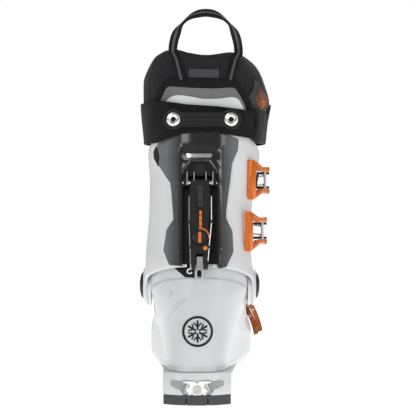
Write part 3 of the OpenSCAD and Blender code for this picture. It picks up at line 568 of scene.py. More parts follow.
def cuff_zone(y, z, fillet=9.0):
    """Distance outside the cuff's side-view shape: a wedge with a round end at the hinge."""
    y, z = y - HINGE_Y, z - HINGE_Z
    front, rear = math.radians(44.5), math.radians(165.5)
    wedge = np.maximum(y * math.sin(front) - z * math.cos(front),
                       -y * math.sin(rear) + z * math.cos(rear))
    ring = np.hypot(y, z) - 19.5
    h = np.clip(0.5 + 0.5 * (ring - wedge) / fillet, 0, 1)
    return mix(ring, wedge, h) - fillet * h * (1 - h)


def rear_surface(point):
    """Gives (x, z) in metres -> point and outward normal on the rear of an outline."""
    quarter = np.linspace(-1, 1, 241)
    turns = math.pi + spow(quarter, 1.6) * 1.5

    def depth(x, z):
        spots = point(np.full_like(turns, z), turns)
        order = np.argsort(spots[:, 0])
        return float(np.interp(x, spots[order, 0], spots[order, 1]))

    def at(x, z):
        x, z, e = x * 1000, z * 1000, 0.6
        y = depth(x, z)
        nx = -(depth(x + e, z) - depth(x - e, z)) / (2 * e)
        nz = -(depth(x, z + e) - depth(x, z - e)) / (2 * e)
        return Vector((x, y, z)) * MM, Vector((-nx, -1, -nz)).normalized()

    return at


def edge_distance(outline):
    """Distance from a point to the nearest side of a closed outline, with the outline in millimetres
    and the rest in metres."""
    outline = [Vector(p) * MM for p in outline]
    pairs = [(a, b) for a, b in zip(outline, outline[1:] + outline[:1])]

    def at(x, z):
        p = Vector((x, z))
        best = 1.0
        for a, b in pairs:
            t = max(0, min(1, (p - a).dot(b - a) / (b - a).length_squared))
            best = min(best, (p - a - (b - a) * t).length)
        return best

    return at


def round_corners(outline, radius, steps=4):
    """Closed outline with its corners rounded, in the outline's own units."""
    pts = [Vector(p) for p in outline]
    return [tuple(p) for i, b in enumerate(pts)
            for p in corner(pts[i - 1], b, pts[(i + 1) % len(pts)], radius, 0.45, steps)]


# ---------- studio ----------

place_camera()
studio()

# ---------- finishes ----------

shell_white = moulded("shell_white", (0.66, 0.675, 0.68), 0.36, 1600, 0.00002, 0.12, 0.02, 0.08)
cuff_white = moulded("cuff_white", (0.78, 0.785, 0.79), 0.34, 1600, 0.00002, 0.12, 0.015, 0.08)
sole_white = moulded("sole_white", (0.72, 0.73, 0.735), 0.48, 2400, 0.00004, 0.0, 0.03, 0.05)
# grey painted shade for the heel block's recesses
recess_shade_grey = moulded("recess_shade_grey", (0.36, 0.37, 0.38), 0.6, 2600, 0.00005)
# the last colour is a painted highlight on the tread's convex edges
rubber = moulded("rubber", (0.055, 0.056, 0.06), 0.72, 900, 0.00012, 0.0, 0.2, 0.0, (0.16, 0.16, 0.17))
smoked = smoked_plastic("smoked")
channel_black = moulded("channel_black", (0.006, 0.006, 0.007), 0.5, 2200, 0.00003, 0.0, 0.2, specular=0.22)
# the edge colour here is a painted highlight on convex edges
part_black = moulded("part_black", (0.008, 0.008, 0.009), 0.42, 1900, 0.00004, 0.0, 0.25, 0.0,
                     (0.05, 0.05, 0.053), 0.3)
ink_black = moulded("ink_black", (0.007, 0.007, 0.008), 0.34, 3000, 0.00001, 0.0, 0.1, specular=0.35)
steel = metal("steel", (0.62, 0.61, 0.59), 0.3)
bright_steel = metal("bright_steel", (0.82, 0.82, 0.81), 0.16)
dark_steel = metal("dark_steel", (0.12, 0.12, 0.125), 0.36)
brass = metal("brass", (0.62, 0.44, 0.18), 0.3)
orange_metal = metal("orange_metal", (0.78, 0.165, 0.008), 0.3, (300, 300, 300), 0.00001, 0.05,
                     0.35)
# darker copy of the orange lever metal for the shell's levers, painted with the shade they sit in
shaded_orange_metal = metal("shaded_orange_metal", (0.42, 0.11, 0.03), 0.28, (300, 300, 300), 0.00001, 0.08,
                     0.55)
orange_ink = moulded("orange_ink", (0.86, 0.19, 0.01), 0.35, 3000, 0.00001, 0.1)
liner_cloth = woven("liner_cloth", (0.020, 0.020, 0.022), 0.0012, 0.0002, 0.9, 0.06, 0.3)
liner_inside = woven("liner_inside", (0.045, 0.045, 0.05), 0.0022, 0.0004, 0.95, 0.4, 0.3)
trim_cloth = woven("trim_cloth", (0.008, 0.008, 0.009), 0.0020, 0.0004, 0.85, 0.05, 0.7)
panel_cloth = woven("panel_cloth", (0.19, 0.19, 0.195), 0.0009, 0.00012, 0.5, 0.3, 0.2)
webbing = woven("webbing", (0.007, 0.007, 0.008), 0.0018, 0.0004, 0.8, 0.05, 0.7)
stripe_web = woven("stripe_web", (0.085, 0.085, 0.09), 0.0013, 0.0003, 0.6, 0.25, 0.4)
label_cloth = woven("label_cloth", (0.06, 0.06, 0.064), 0.0008, 0.0001, 0.6, 0.3, 0.25)
diamond_cloth = dotted_cloth("diamond_cloth")
board_plastic = moulded("board_plastic", (0.08, 0.08, 0.085), 0.6, 1200, 0.00006)


# ---------- lower shell ----------

def shell_relief(p):
    """Raised and sunk parts of the shell's skin, in millimetres."""
    x, y, z = p[..., 0], p[..., 1], p[..., 2]
    cup = np.sqrt(((x - 6) / 39) ** 2 + ((z - 55) / 47) ** 2)
    rear = smooth_step((30 - y) / 20)
    grow = 0.8 * smooth_step((1 - cup) / 0.03) * smooth_step((6 - x) / 14) * rear
    gap = cuff_zone(y, z)
    step = smooth_step((gap - 8) / 1.6) * smooth_step((z - 62) / 26) * smooth_step((92 - y) / 16)
    grow = grow + 1.2 * step * (1 - smooth_step((gap - 22) / 24) * 0.6)
    lip = smooth_step((34.6 - z) / 1.6) * smooth_step((70 - y) / 8)
    return grow + 0.9 * lip


def build_shell():
    columns = 420
    turns = even_turns(shell_point, 52.0, columns)
    levels = np.concatenate([np.arange(19.3, 36, 1.2), np.arange(36.4, 142, 1.35), [142]])
    z, t = np.meshgrid(levels, turns, indexing="ij")
    relief = shell_relief(shell_point(z, t))
    outer = shell_point(z, t, relief)
    inner_levels = np.linspace(142, 27, 24)
    zi, ti = np.meshgrid(inner_levels, turns, indexing="ij")
    inner = shell_point(zi, ti, -SHELL_WALL, SHELL_WALL)
    rows = len(levels) + len(inner_levels)
    verts = np.concatenate([outer.reshape(-1, 3), inner.reshape(-1, 3)]) * MM
    faces = ring_faces(rows, columns)
    faces += cap_faces(columns, 0) + cap_faces(columns, (rows - 1) * columns, True)
    shell = make_object("lower_shell_skin", verts, faces, [shell_white])
    bm = bmesh.new()
    bm.from_mesh(shell.data)
    for place in (-6.0, -5.4, 37.5, 38.5):
        geom = [f for f in bm.faces if f.calc_center_median().y > 0.120]
        parts = geom + list({e for f in geom for e in f.edges}) + list({v for f in geom for v in f.verts})
        bmesh.ops.bisect_plane(bm, geom=parts, plane_co=(place * MM, 0, 0), plane_no=(1, 0, 0))
    bm.normal_update()
    # instep flap, raised above the rest
    for v in bm.verts:
        x, y, z = v.co * 1000
        if -5.5 <= x <= 38.4 and y >= 122 and 50 <= z < 115 and v.normal.z >= 0.05:
            v.co += v.normal * float(2.2 * MM * smooth_step((y - 122) / 9) * smooth_step((38 - x) / 9)
                                     * smooth_step((258 - y) / 26))
    bm.to_mesh(shell.data)
    bm.free()
    notch = along_prism("cut_notch", [(-28.5, 104.2), (-22.2, 104.2), (-27.2, 93.4)], -40, -15.5)
    subtract(shell, [block("cut_heel", (-80, -60, 0), (80, 63, 30.3)),
                     block("cut_toe", (-80, 151, 0), (80, 300, 19.3)), notch])
    finish_mesh(shell.data, math.radians(30))
    ride_as(shell, "shell", "shell_plastic", "lower_shell")
    bevel(shell, 0.0005, 2, 50)


def block(name, low, high):
    (x0, y0, z0), (x1, y1, z1) = low, high
    return along_prism(name, [(x0, z0), (x1, z0), (x1, z1), (x0, z1)], y0, y1)


def along_prism(name, outline, y0, y1, material=None):
    near, far = ([(x * MM, y * MM, z * MM) for x, z in outline] for y in (y0, y1))
    return prism(name, near, far, material)


def subtract(target, cutters):
    """Cuts the cutters out of the target and removes them."""
    for cutter in cutters:
        mod = target.modifiers.new("cut", "BOOLEAN")
        mod.operation = "DIFFERENCE"
        mod.solver = "EXACT"
        mod.object = cutter
    bpy.context.view_layer.update()
    graph = bpy.context.evaluated_depsgraph_get()
    mesh = bpy.data.meshes.new_from_object(target.evaluated_get(graph))
    target.modifiers.clear()
    old = target.data
    target.data = mesh
    bpy.data.meshes.remove(old)
    for cutter in cutters:
        bpy.data.objects.remove(cutter, do_unlink=True)


def ankle_rib(name, x):
    """Bar beside the lock bar's groove that follows an arc about the hinge axis."""
    steps, width, foot, crest = 24, 2, 72, 76.6
    verts = []
    for t in (i / steps for i in range(steps + 1)):
        a = math.radians(mix(162, 186.5, t))
        top = crest - 2.4 * smooth_step((t - 0.72) / 0.28)
        for u, r in ((x, foot), (x + width, foot), (x + width, top), (x, top)):
            verts.append(Vector((u, HINGE_Y + r * math.cos(a), HINGE_Z + r * math.sin(a))) * MM)
    faces = ring_faces(steps + 1, 4) + [(0, 1, 2, 3), tuple(4 * steps + k for k in (3, 2, 1, 0))]
    rib = bevel(make_object(name, verts, faces, [shell_white]), 0.0004, 2, 50)
    ride_as(rib, "shell", "shell_plastic")


def circle_points(cx, cz, r, count=32, start=0.0, end=360.0):
    return [(cx + r * math.cos(math.radians(mix(start, end, i / count))),
             cz + r * math.sin(math.radians(mix(start, end, i / count)))) for i in range(count)]


EMBLEM_X, EMBLEM_Z = 0.5, 68
SPOKE = [(1.6, -0.9), (9.6, -0.9), (10.6, 0), (9.6, 0.9), (1.6, 0.9)]
BARB = [(4.4, 1.3), (7.6, 4.0), (8.6, 3.2), (5.9, 0.9)]


def shell_details():
    for k, x in enumerate((-2, 4)):
        ankle_rib(f"ankle_rib_{k}", x)
    at = rear_surface(lambda z, t, g=0.0: shell_point(z, t, shell_relief(shell_point(z, t))))
    insert = patch("ankle_insert", [(-22.5, 127.5), (-11, 117.6), (-2.4, 117.4), (-2.4, 131), (-14, 134.5)],
                   at, 0.0008, -0.001, channel_black, grid=0.002, low_bevel=0.0003)
    ride_as(insert, "shell", "insert_plastic", "rear_insert")
    slot = patch("ankle_slot", [(0.2, 118), (3.8, 118), (3.8, 131), (0.2, 131)], at, 0.0003, -0.001,
                 channel_black, grid=0.002, low_bevel=0)
    ride_as(slot, "shell", "insert_plastic")
    # emblem: a ring round a six-armed star
    ring, hole = (circle_points(EMBLEM_X, EMBLEM_Z, r, 64) for r in (14.2, 12.1))
    parts = [patch("heel_emblem_ring", ring, at, 0.0004, -0.0006, ink_black, [hole], 0.002, 0)]
    for k in range(6):
        c, s = math.cos(math.radians(60 * k + 30)), math.sin(math.radians(60 * k + 30))
        for shape in (SPOKE, [(u, -v) for u, v in reversed(BARB)], BARB):
            outline = [(EMBLEM_X + u * c - v * s, EMBLEM_Z + u * s + v * c) for u, v in shape]
            parts.append(patch(f"heel_emblem_{len(parts)}", outline, at, 0.0004, -0.0006, ink_black,
                               grid=0.002, low_bevel=0))
    ride_merged(parts, "shell", "emblem_ink", "heel_emblem")


RECESS = [(8.8, 22.2), (24.6, 22.2), (24.6, 18.2), (20.8, 16.3), (15.8, 15.3), (13.6, 11.5), (11.6, 14.8)]


def heel_recesses():
    """Grey pads in the heel block's recesses on either side of the metal fitting, painted shade where the
    recesses fall into shadow.
    """
    pads = [along_prism(f"heel_recess_{side}", [(side * x, z) for x, z in RECESS], HEEL_REAR + 3.6,
                        HEEL_REAR + 5.2, recess_shade_grey) for side in (-1, 1)]
    ride_merged(pads, "shell", "sole_plastic")


def merge(parts):
    """Joins meshes with the same materials into the first."""
    bm = bmesh.new()
    for part in parts:
        bm.from_mesh(part.data)
    bm.to_mesh(parts[0].data)
    bm.free()
    for part in parts[1:]:
        bpy.data.objects.remove(part, do_unlink=True)
    finish_mesh(parts[0].data, math.radians(34))


def ride_merged(parts, body, slot, *replaced):
    merge(parts)
    ride_as(parts[0], body, slot, *replaced)


# ---------- cuff ----------

def cuff_top_height(y):
    return np.interp(y, [-30, 6, 20, 34, 60, 150], [253.5, 253.5, 250, 243.5, 233.5, 240])


def build_cuff():
    columns = 400
    turns = even_turns(cuff_point, 170.0, columns)
    low, high = np.full(columns, 86.0), np.full(columns, 200.0)
    for _ in range(30):
        middle = (low + high) / 2
        spot = cuff_point(middle, turns)
        out = cuff_zone(spot[:, 1], middle) > 0
        low, high = np.where(out, middle, low), np.where(out, high, middle)
    bottom = high
    top = np.full(columns, 245.0)
    for _ in range(20):
        top = cuff_top_height(cuff_point(top, turns)[:, 1])
    wall, edge = 2.8, 0.9

    def ring(z, grow):
        x, y = cuff_point(z, turns, grow)[:, :2].T
        flap = smooth_step((y - 80) / 14) * (x > -7.7) * smooth_step((40 - x) / 9)
        return cuff_point(z, turns, grow + 2.6 * flap)

    rings = [ring(bottom + edge + (top - bottom - 2 * edge) * k, 0.0) for k in np.linspace(0, 1, 56)]
    rings += [ring(top - 0.25, -0.25), ring(top, -edge), cuff_point(top, turns, -wall + edge * 0.6),
              cuff_point(top - 0.6, turns, -wall)]
    rings += [cuff_point(bottom + (top - bottom) * k, turns, -wall) for k in np.linspace(0.98, 0.02, 20)]
    rings += [cuff_point(bottom, turns, -wall + edge * 0.6), ring(bottom, -edge), ring(bottom + 0.25, -0.25)]
    verts = np.concatenate(rings) * MM
    faces = ring_faces(len(rings), columns, loop=True)
    cuff = make_object("cuff_skin", verts, faces, [cuff_white])
    bores = [block("cut_channel", (-9.5, -60, 96), (14.5, -4, 212))]
    for side in HINGE_FACE:
        profile = [(0.0, 0.02), (0.0, -0.004), (0.0138, -0.004), (0.0138, 0.02)]
        bores.append(hinge_turned(f"cut_bore_{side}", profile, side, cuff_white, 48, math.radians(34)))
    subtract(cuff, bores)
    finish_mesh(cuff.data, math.radians(34))
    ride_as(cuff, "cuff", "cuff_plastic", "cuff_shell")
    profile = [(0.0137, 0.009), (0.0137, 0.0016), (0.0141, 0.0010), (0.0158, 0.0010), (0.0167, 0.0016),
               (0.0182, 0.0050), (0.0196, 0.0078), (0.0196, 0.009), (0.0137, 0.009)]
    for name, side in (("inner", -1), ("outer", 1)):
        boss = bevel(hinge_turned(f"hinge_boss_{name}", profile, side, cuff_white), 0.0003, 2, 45)
        ride_as(boss, "cuff", "cuff_plastic")


PANEL = [(-38, 243), (-36, 222), (-24, 205), (-21, 171), (-28, 161), (-31, 142), (-25, 129)]
PANEL_RIGHT = [(21, 126), (26, 127), (33, 141), (32, 160), (26, 172), (26, 178), (32, 224), (38, 236)]
CHANNEL = [(-13.5, 128), (-13.5, 218), (-7, 227), (12, 227), (18.5, 218), (18.5, 126.4)]


def panel_height(x, z):
    """Thickness of the spine panel: facets, two long ridges and a raised band round the channel."""
    x, z = x * 1000, z * 1000
    grow = 3.2
    for line in (-16.2, 21.2):
        grow += 1.5 * math.exp(-((x - line) / 1.3) ** 2) * float(smooth_step((242 - z) / 8))
    outer = max(0, -16 - x) if x < 0 else max(0, x - 21)
    grow -= 0.16 * outer
    grow += 0.5 * float(smooth_step((z - 199) / 1.2) * smooth_step((228 - z) / 1.2)) * (outer > 1)
    grow -= 1.4 * float(smooth_step((z - 222) / 6) * smooth_step((244 - z) / 14)) * (-14 < x < 19)
    return grow * MM


def build_bolts():
    """Black domed hinge bolts with a ring groove and a socket."""
    dome = [(0.0, 0.0006), (0.0016, 0.0006), (0.0026, -0.0004), (0.0032, -0.0024), (0.0044, -0.0027),
            (0.0078, -0.0022), (0.0082, -0.0014), (0.0092, -0.0013), (0.0096, -0.0018),
            (0.0116, -0.0008), (0.0128, 0.0004), (0.0134, 0.0018), (0.0134, 0.0040), (0.0060, 0.0040),
            (0.0060, 0.0135), (0.0, 0.0135)]
    for name, side in (("inner", -1), ("outer", 1)):
        bolt = bevel(hinge_turned(f"hinge_cap_{name}", dome, side, ink_black), 0.0002, 2, 45)
        ride_as(bolt, "shell", "bolt_black", f"hinge_bolt_{name}")


def build_panel():
    top = [(39, 247), (28, 250.6), (14, 252.4), (0, 252.8), (-14, 251.4), (-28, 247.6)]
    at = rear_surface(cuff_point)
    panel = patch("spine_panel_skin", PANEL + CHANNEL + PANEL_RIGHT + top, at, panel_height, 0.0002, smoked,
                  grid=0.0018)
    ride_as(panel, "cuff", "smoked_plastic", "spine_panel")
    # bright steel strip standing in for the painted highlight on the panel's bevel above the channel
    painted_highlight = round_corners([(-8.5, 228.6), (-9.8, 232.4), (13.6, 232.4), (12.2, 228.6)], 0.8)
    ride_as(patch("spine_highlight_plate", painted_highlight, at, 0.0042, 0.0012, bright_steel, low_bevel=0.0005), "cuff",
            "fitting_metal")
    # black patch of painted shadow where the gap at the spine panel's top-left edge falls dark
    gap = round_corners([(-38.5, 241.4), (-41.6, 236), (-41.2, 229.5), (-36.6, 221), (-36.0, 231)], 1.0)
    ride_as(patch("spine_gap_shadow", gap, at, 0.0006, -0.001, channel_black, low_bevel=0.0002), "cuff",
            "smoked_plastic")


build_shell()
shell_details()
heel_recesses()
build_cuff()
build_bolts()
build_panel()


# ---------- rear mechanism ----------

def mech(x, y, z):
    """Point of the mechanism's own frame (x across, -y outward, -z down the spine) in metres."""
    return Vector((MECH_X + x, AXLE_Y + y * math.cos(LEAN) + z * math.sin(LEAN),
                   AXLE_Z - y * math.sin(LEAN) + z * math.cos(LEAN))) * MM


def mech_plate(name, outline, y_out, y_in, material, size=0.0003):
    """Flat plate in the mechanism's frame with its edges rounded."""
    near, far = ([mech(x, y, z) for x, z in outline] for y in (y_out, y_in))
    return bevel(prism(name, near, far, material), size, 2, 40)


def mech_wire(name, path, radius, material, bend):
    return tube(name, rounded([mech(*p) for p in path], bend * MM), radius * MM, material)


def rect(x0, x1, z0, z1):
    return [(x0, z0), (x1, z0), (x1, z1), (x0, z1)]


LEVER_WIRES = {
    "left": [(-7.4, -1.6, -13.4), (-9.8, -3.2, -13.4), (-9.8, -3.4, -40), (-8.9, -3.4, -62),
             (-8.4, -3.2, -79), (-7.4, -1.0, -80.5)],
    "right": [(8.4, -1.6, -13.4), (10.8, -3.2, -13.4), (10.8, -3.4, -39), (9.0, -3.4, -58),
              (7.6, -3.2, -75), (6.6, -1.0, -77)]}
WIRE_CLIPS = ((-9.6, -38.5), (10.7, -38.0), (-8.9, -62.5), (8.9, -62.0))
STRIPE = ((-27.6, -31.2), (-31.9, -36.6), (-37.3, -41.4), (-42.1, -46.2))
DIAL_Z = -53
SPRING_R, SPRING_TURNS, SPRING_STEPS = 2.3, 4, 96


def build_mechanism():
    # long wires that ride on the walk lever, and their clips
    ride_merged([mech_wire(f"lever_wire_{name}", path, 0.55, steel, 1.2)
                 for name, path in LEVER_WIRES.items()], "walk_lever", "wire_steel", "lever_wires")
    for k, (x, z) in enumerate(WIRE_CLIPS):
        clip = mech_plate(f"wire_clip_{k}", rect(x - 1.6, x + 1.6, z - 1.5, z + 1.5), -4.6, -1.2,
                          part_black, 0.0005)
        ride_as(clip, "walk_lever", "mechanism_black")
    # printed stripe, arc and dot of the lever
    marks = [mech_plate(f"lever_stripe_{k}", rect(-0.5, 1.9, *ends), -3.85, -3.3, orange_ink, 0.0002)
             for k, ends in enumerate(STRIPE)]
    arc = circle_points(0, DIAL_Z, 9.3, 24, 98, -6) + circle_points(0, DIAL_Z, 8.0, 24, -6, 98)
    marks.append(mech_plate("lever_arc", arc, -3.85, -3.3, orange_ink, 0.0001))
    marks.append(mech_plate("lever_dot", circle_points(5.2, -63, 2.1), -3.9, -3.3, orange_ink, 0.0002))
    ride_merged(marks, "walk_lever", "dial_plastic")
    teeth = [mech_plate(f"lever_tooth_{k}", rect(-1.9, 3.1, -4.2 - 2.0 * k, -5.2 - 2.0 * k), -4.5, -3.3,
                        dark_steel, 0.0003) for k in range(10)]
    ride_merged(teeth, "walk_lever", "mechanism_black")
    bar = mech_plate("dial_bar", rect(-1.4, 1.4, -47.9, -58.1), -4.9, -3.6, orange_ink, 0.0003)
    ride_as(bar, "mode_dial", "dial_plastic")
    # wire stirrups and springs on the cuff round the axle
    ride_merged([mech_wire(f"stirrup_{k}", [(a, -2.6, 1.0), (a, -3.6, 9.8), (a, 0.6, 10.6), (b, 0.6, 10.6),
                                            (b, -3.6, 9.8), (b, -2.6, 1.0)], 0.6, bright_steel, 1.0)
                 for k, (a, b) in enumerate(((-11.8, -5.4), (5.8, 12.2)))], "cuff", "wire_steel")
    turns = [i / SPRING_STEPS for i in range(SPRING_STEPS + 1)]
    coils = []
    for side in (-1, 1):
        path = [mech(side * mix(10.2, 13.2, t), SPRING_R * math.cos(2 * math.pi * SPRING_TURNS * t),
                     SPRING_R * math.sin(2 * math.pi * SPRING_TURNS * t)) for t in turns]
        coils.append(tube(f"axle_spring_{side}", path, 0.00042, steel, 8))
    ride_merged(coils, "cuff", "wire_steel")
    brace = [(-14.6, 11.8), (-8.1, 20.2), (8.1, 20.2), (14.6, 11.8), (13.4, 11.2), (7.5, 18.9),
             (-7.5, 18.9), (-13.4, 11.2)]
    ride_merged([mech_plate(f"cover_bar_{k}", outline, -2.6, -1.6, part_black)
                 for k, outline in enumerate((brace, circle_points(0, 13, 5.4, 40)))],
                "cuff", "mechanism_black")
    ride_merged([mech_plate(f"channel_wall_{side}", rect(side * 16.2 - 0.8, side * 16.2 + 0.8, 10, -76),
                            2.2, 7.4, channel_black, 0.0004) for side in (-1, 1)],
                "cuff", "mechanism_black")
    hook = [mech(-8.2, -1.0, -79.6)]
    hook += [mech(-9.2 + 2.1 * math.cos(a), -1.4, -84.2 + 2.1 * math.sin(a))
             for a in np.radians(np.linspace(60, 330, 20))]
    ride_as(tube("lever_hook", hook, 0.0008, bright_steel), "walk_lever", "wire_steel")


# ---------- buckles ----------

CUFF_TURN = math.radians(252.2)
BAIL_U, BAIL_V, WIRE_R, WIRE_SIDE = 10, 2.7, 1.25, 4.4
SHELL_BAIL = [(0, 0), (-1, 9), (-8, 18), (-18, 24.5), (-32, 29), (-50, 32), (-66, 32)]
CUFF_BUCKLES = {"upper": ((66, 64, 209), 8), "lower": ((63, 52, 160), 28)}
SHELL_TURN = math.radians(69)
SHELL_BUCKLES = {"instep": (50, 148, 86), "toe": (47.8, 184, 77.3)}


def one_bail(name, strands, bars, body):
    parts = [tube(f"{name}_strand_{k}", [Vector(p) * MM for p in path], WIRE_R * MM, steel, 12)
             for k, path in enumerate(strands)]
    for k, (end, axis, half) in enumerate(bars):
        reach = Vector(axis) * half
        path = [(Vector(end) + reach * share) * MM for share in (-1, 0, 1)]
        parts.append(tube(f"{name}_bar_{k}", path, WIRE_R * MM, steel, 12))
    ride_merged(parts, body, "wire_steel", body)


def cuff_strand(at, climb, side):
    path = [(at[0] + BAIL_U * math.cos(CUFF_TURN) - BAIL_V * math.sin(CUFF_TURN),
             at[1] + BAIL_U * math.sin(CUFF_TURN) + BAIL_V * math.cos(CUFF_TURN), at[2] + WIRE_SIDE * side)]
    for k in np.linspace(0, 11, 45):
        z = at[2] + climb * float(smooth_step(k / 9))
        grow = mix(13, 7.5, float(smooth_step(k / 5)))
        x, y, _ = cuff_point(z, math.radians(mix(64, -14, k / 11)), grow)
        path.append((x, y, z + side * mix(WIRE_SIDE, 7, k / 11)))
    return path


def build_bails():
    for name, (at, climb) in CUFF_BUCKLES.items():
        middle = cuff_strand(at, climb, 0)
        bars = [(middle[0], (0, 0, 1), 12), (middle[-1], (0, 0, 1), 8.2)]
        one_bail(f"{name}_wire", [cuff_strand(at, climb, side) for side in (-1, 1)], bars, f"{name}_bail")
    for name, at in SHELL_BUCKLES.items():
        start = Vector((at[0] + BAIL_U * math.cos(SHELL_TURN) + BAIL_V * math.sin(SHELL_TURN), at[1],
                        at[2] - BAIL_U * math.sin(SHELL_TURN) + BAIL_V * math.cos(SHELL_TURN)))
        middle = [start + Vector((u, 0, w)) for u, w in SHELL_BAIL]
        strands = [rounded([p + Vector((0, side, 0)) for p in middle], 6) for side in (-WIRE_SIDE, WIRE_SIDE)]
        bars = [(middle[0], (0, 1, 0), 12), (middle[-1], (0, 1, 0), 6)]
        one_bail(f"{name}_wire", strands, bars, f"{name}_bail")


# ---------- liner ----------

def board_height(y):
    return mix(41, 30, (y + 40) / 276)


def liner_skin(z, turn, grow):
    low = shell_point(z, turn, grow - SHELL_WALL - 2.6, SHELL_WALL + 2.6 - grow)
    high = liner_point(z, turn, grow)
    k = smooth_step((z - 104) / 28)[..., None]
    return low * (1 - k) + high * k


def liner_rim(p):
    """How far the rim dips below its highest line, in millimetres."""
    x, y = p[..., 0], p[..., 1]
    rear = smooth_step((50 - y) / 30)
    return rear * 4.5 * np.exp(-((x - 8) / 20) ** 2) + (1 - rear) * 5 * smooth_step((y - 50) / 60)


LINER_BASE, LINER_WALL = 30.0, 8.0
LINER_SEAMS = (118, 238)


def build_liner():
    columns = 260
    turns = even_turns(liner_point, 200.0, columns)
    foot_turns = even_turns(lambda z, t: shell_point(z, t, -7, 7), 50.0, columns)

    def skin(z, t, grow):
        return liner_skin(np.full(columns, z), t, grow)

    def turn_at(z):
        return mix(foot_turns, turns, float(smooth_step((z - 80) / 60)))

    rings = []
    for z in np.concatenate([np.linspace(LINER_BASE, 60, 12), np.linspace(63, 326, 96)]):
        t = turn_at(z)
        plain = skin(z, t, 0.0)
        relief = np.zeros(columns)
        for seam in LINER_SEAMS:
            relief -= 0.9 * np.exp(-(((np.degrees(t) - seam + 0.05 * (z - 250)) / 1.1) ** 2)) * (z > 150)
        waves = 0.5 * np.sin(0.09 * z + 3.1 * np.cos(t * 2)) * np.sin(3 * t + 0.03 * z)
        p = skin(z, t, relief + waves * float(smooth_step((z - 150) / 40)))
        p[:, 2] = plain[:, 2]
        if z < 60:
            p[:, 2] += (board_height(plain[:, 1]) + 0.6 - LINER_BASE) * (1 - (z - LINER_BASE) / 30)
        rings.append(p)
    outside = len(rings) + 5
    # rolled rim
    for a in np.radians(np.linspace(0, 180, 9)):
        rings.append(skin(327.4 + 5.0 * math.sin(a), turns, (math.cos(a) - 1) * LINER_WALL / 2))
    for z in np.concatenate([np.linspace(324, 110, 52), np.linspace(106, LINER_BASE + 14, 18)]):
        p = skin(z, turn_at(z), -LINER_WALL)
        if z < 66:
            lift = (board_height(p[:, 1]) - LINER_BASE) * (1 - (z - LINER_BASE) / 36)
            p[:, 2] += np.maximum(lift, 0) * 0.6
        rings.append(p)
    stack = np.stack(rings)
    stack[..., 2] -= liner_rim(stack) * smooth_step((stack[..., 2] - 290) / 36)
    stack[..., 2] += 2.0 * smooth_step((stack[..., 2] - 312) / 14) * smooth_step((-8 - stack[..., 0]) / 14)
    rows = len(rings)
    faces = ring_faces(rows, columns)
    faces += cap_faces(columns, 0) + cap_faces(columns, (rows - 1) * columns, True)
    inside = [0] * (outside * columns) + [1] * (len(faces) - outside * columns)
    liner = make_object("liner_boot", stack.reshape(-1, 3) * MM, faces, [liner_cloth, liner_inside],
                        inside, math.radians(50))
    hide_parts("liner_foot", "liner_shaft")
    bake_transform(liner)


def build_tongue():
    across, up = 40, 64
    verts = []
    for outer in (True, False):
        for i in range(up + 1):
            for j in range(across + 1):
                u, v = j / across * 2 - 1, i / up
                bulge = ((1 - abs(u) ** 6) * (1 - abs(2 * v - 1) ** 14)) ** 0.5
                z = mix(158, 322 - 5 * u * u, v)
                grow = mix(-5.0, 0.6 if outer else -9.0, bulge)
                if outer:
                    # pressed lines along the sides and across the middle
                    grow -= 0.8 * math.exp(-((abs(u) - 0.72) / 0.03) ** 2)
                    grow -= 0.6 * math.exp(-(math.sin(z * 0.16) / 0.16) ** 2) * (abs(u) < 0.66)
                verts.append(liner_point(z, math.radians(37 * u * (1 - 0.1 * v) - 2), grow))
    row = across + 1
    n = (up + 1) * row
    faces = ring_faces(up + 1, row, False)
    faces += [tuple(n + k for k in face) for face in faces]
    rim = list(range(row)) + [i * row + across for i in range(1, up + 1)]
    rim += [up * row + j for j in range(across - 1, -1, -1)] + [i * row for i in range(up - 1, 0, -1)]
    faces += [(a, b, b + n, a + n) for a, b in zip(rim, rim[1:] + rim[:1])]
    tongue = make_object("liner_tongue_pad", np.array(verts) * MM, faces, [liner_cloth],
                         crease=math.radians(60))
    ride_as(tongue, "cuff", "liner_fabric", "liner_tongue")


def build_insole():
    columns = 120
    turns = even_turns(lambda z, t: shell_point(z, t, -16, 16), 44.0, columns)
    rings = []
    for gap, lift in ((4, 5.6), (3.2, 6.2), (3.2, 7.6), (4, 8.2)):
        p = shell_point(46.0, turns, -SHELL_WALL - LINER_WALL - gap, SHELL_WALL + 10)
        p[:, 2] = board_height(p[:, 1]) + lift
        rings.append(p)
    faces = ring_faces(4, columns) + cap_faces(columns, 0) + cap_faces(columns, 3 * columns, True)
    insole = make_object("insole_pad", np.concatenate(rings) * MM, faces, [liner_inside])
    ride_as(insole, "shell", "insole_foam", "insole")


TRIM_OUT = [(-31, 306), (38.8, 304.8), (51.0, 284), (54.5, 268), (-46.5, 268), (-43.4, 284)]
TRIM_IN = [(-28.5, 297.5), (-8, 295.5), (16, 294.8), (35.5, 296.4), (44.6, 281), (47.5, 268.5),
           (-39, 268.5), (-36, 281)]
CREST = [(-34, 270), (-28.8, 283), (-24, 287), (-19, 288.6), (-10, 287.6), (6, 284.6), (20, 285),
         (33, 287), (38, 285), (43.5, 275), (44.5, 268), (-34, 268)]


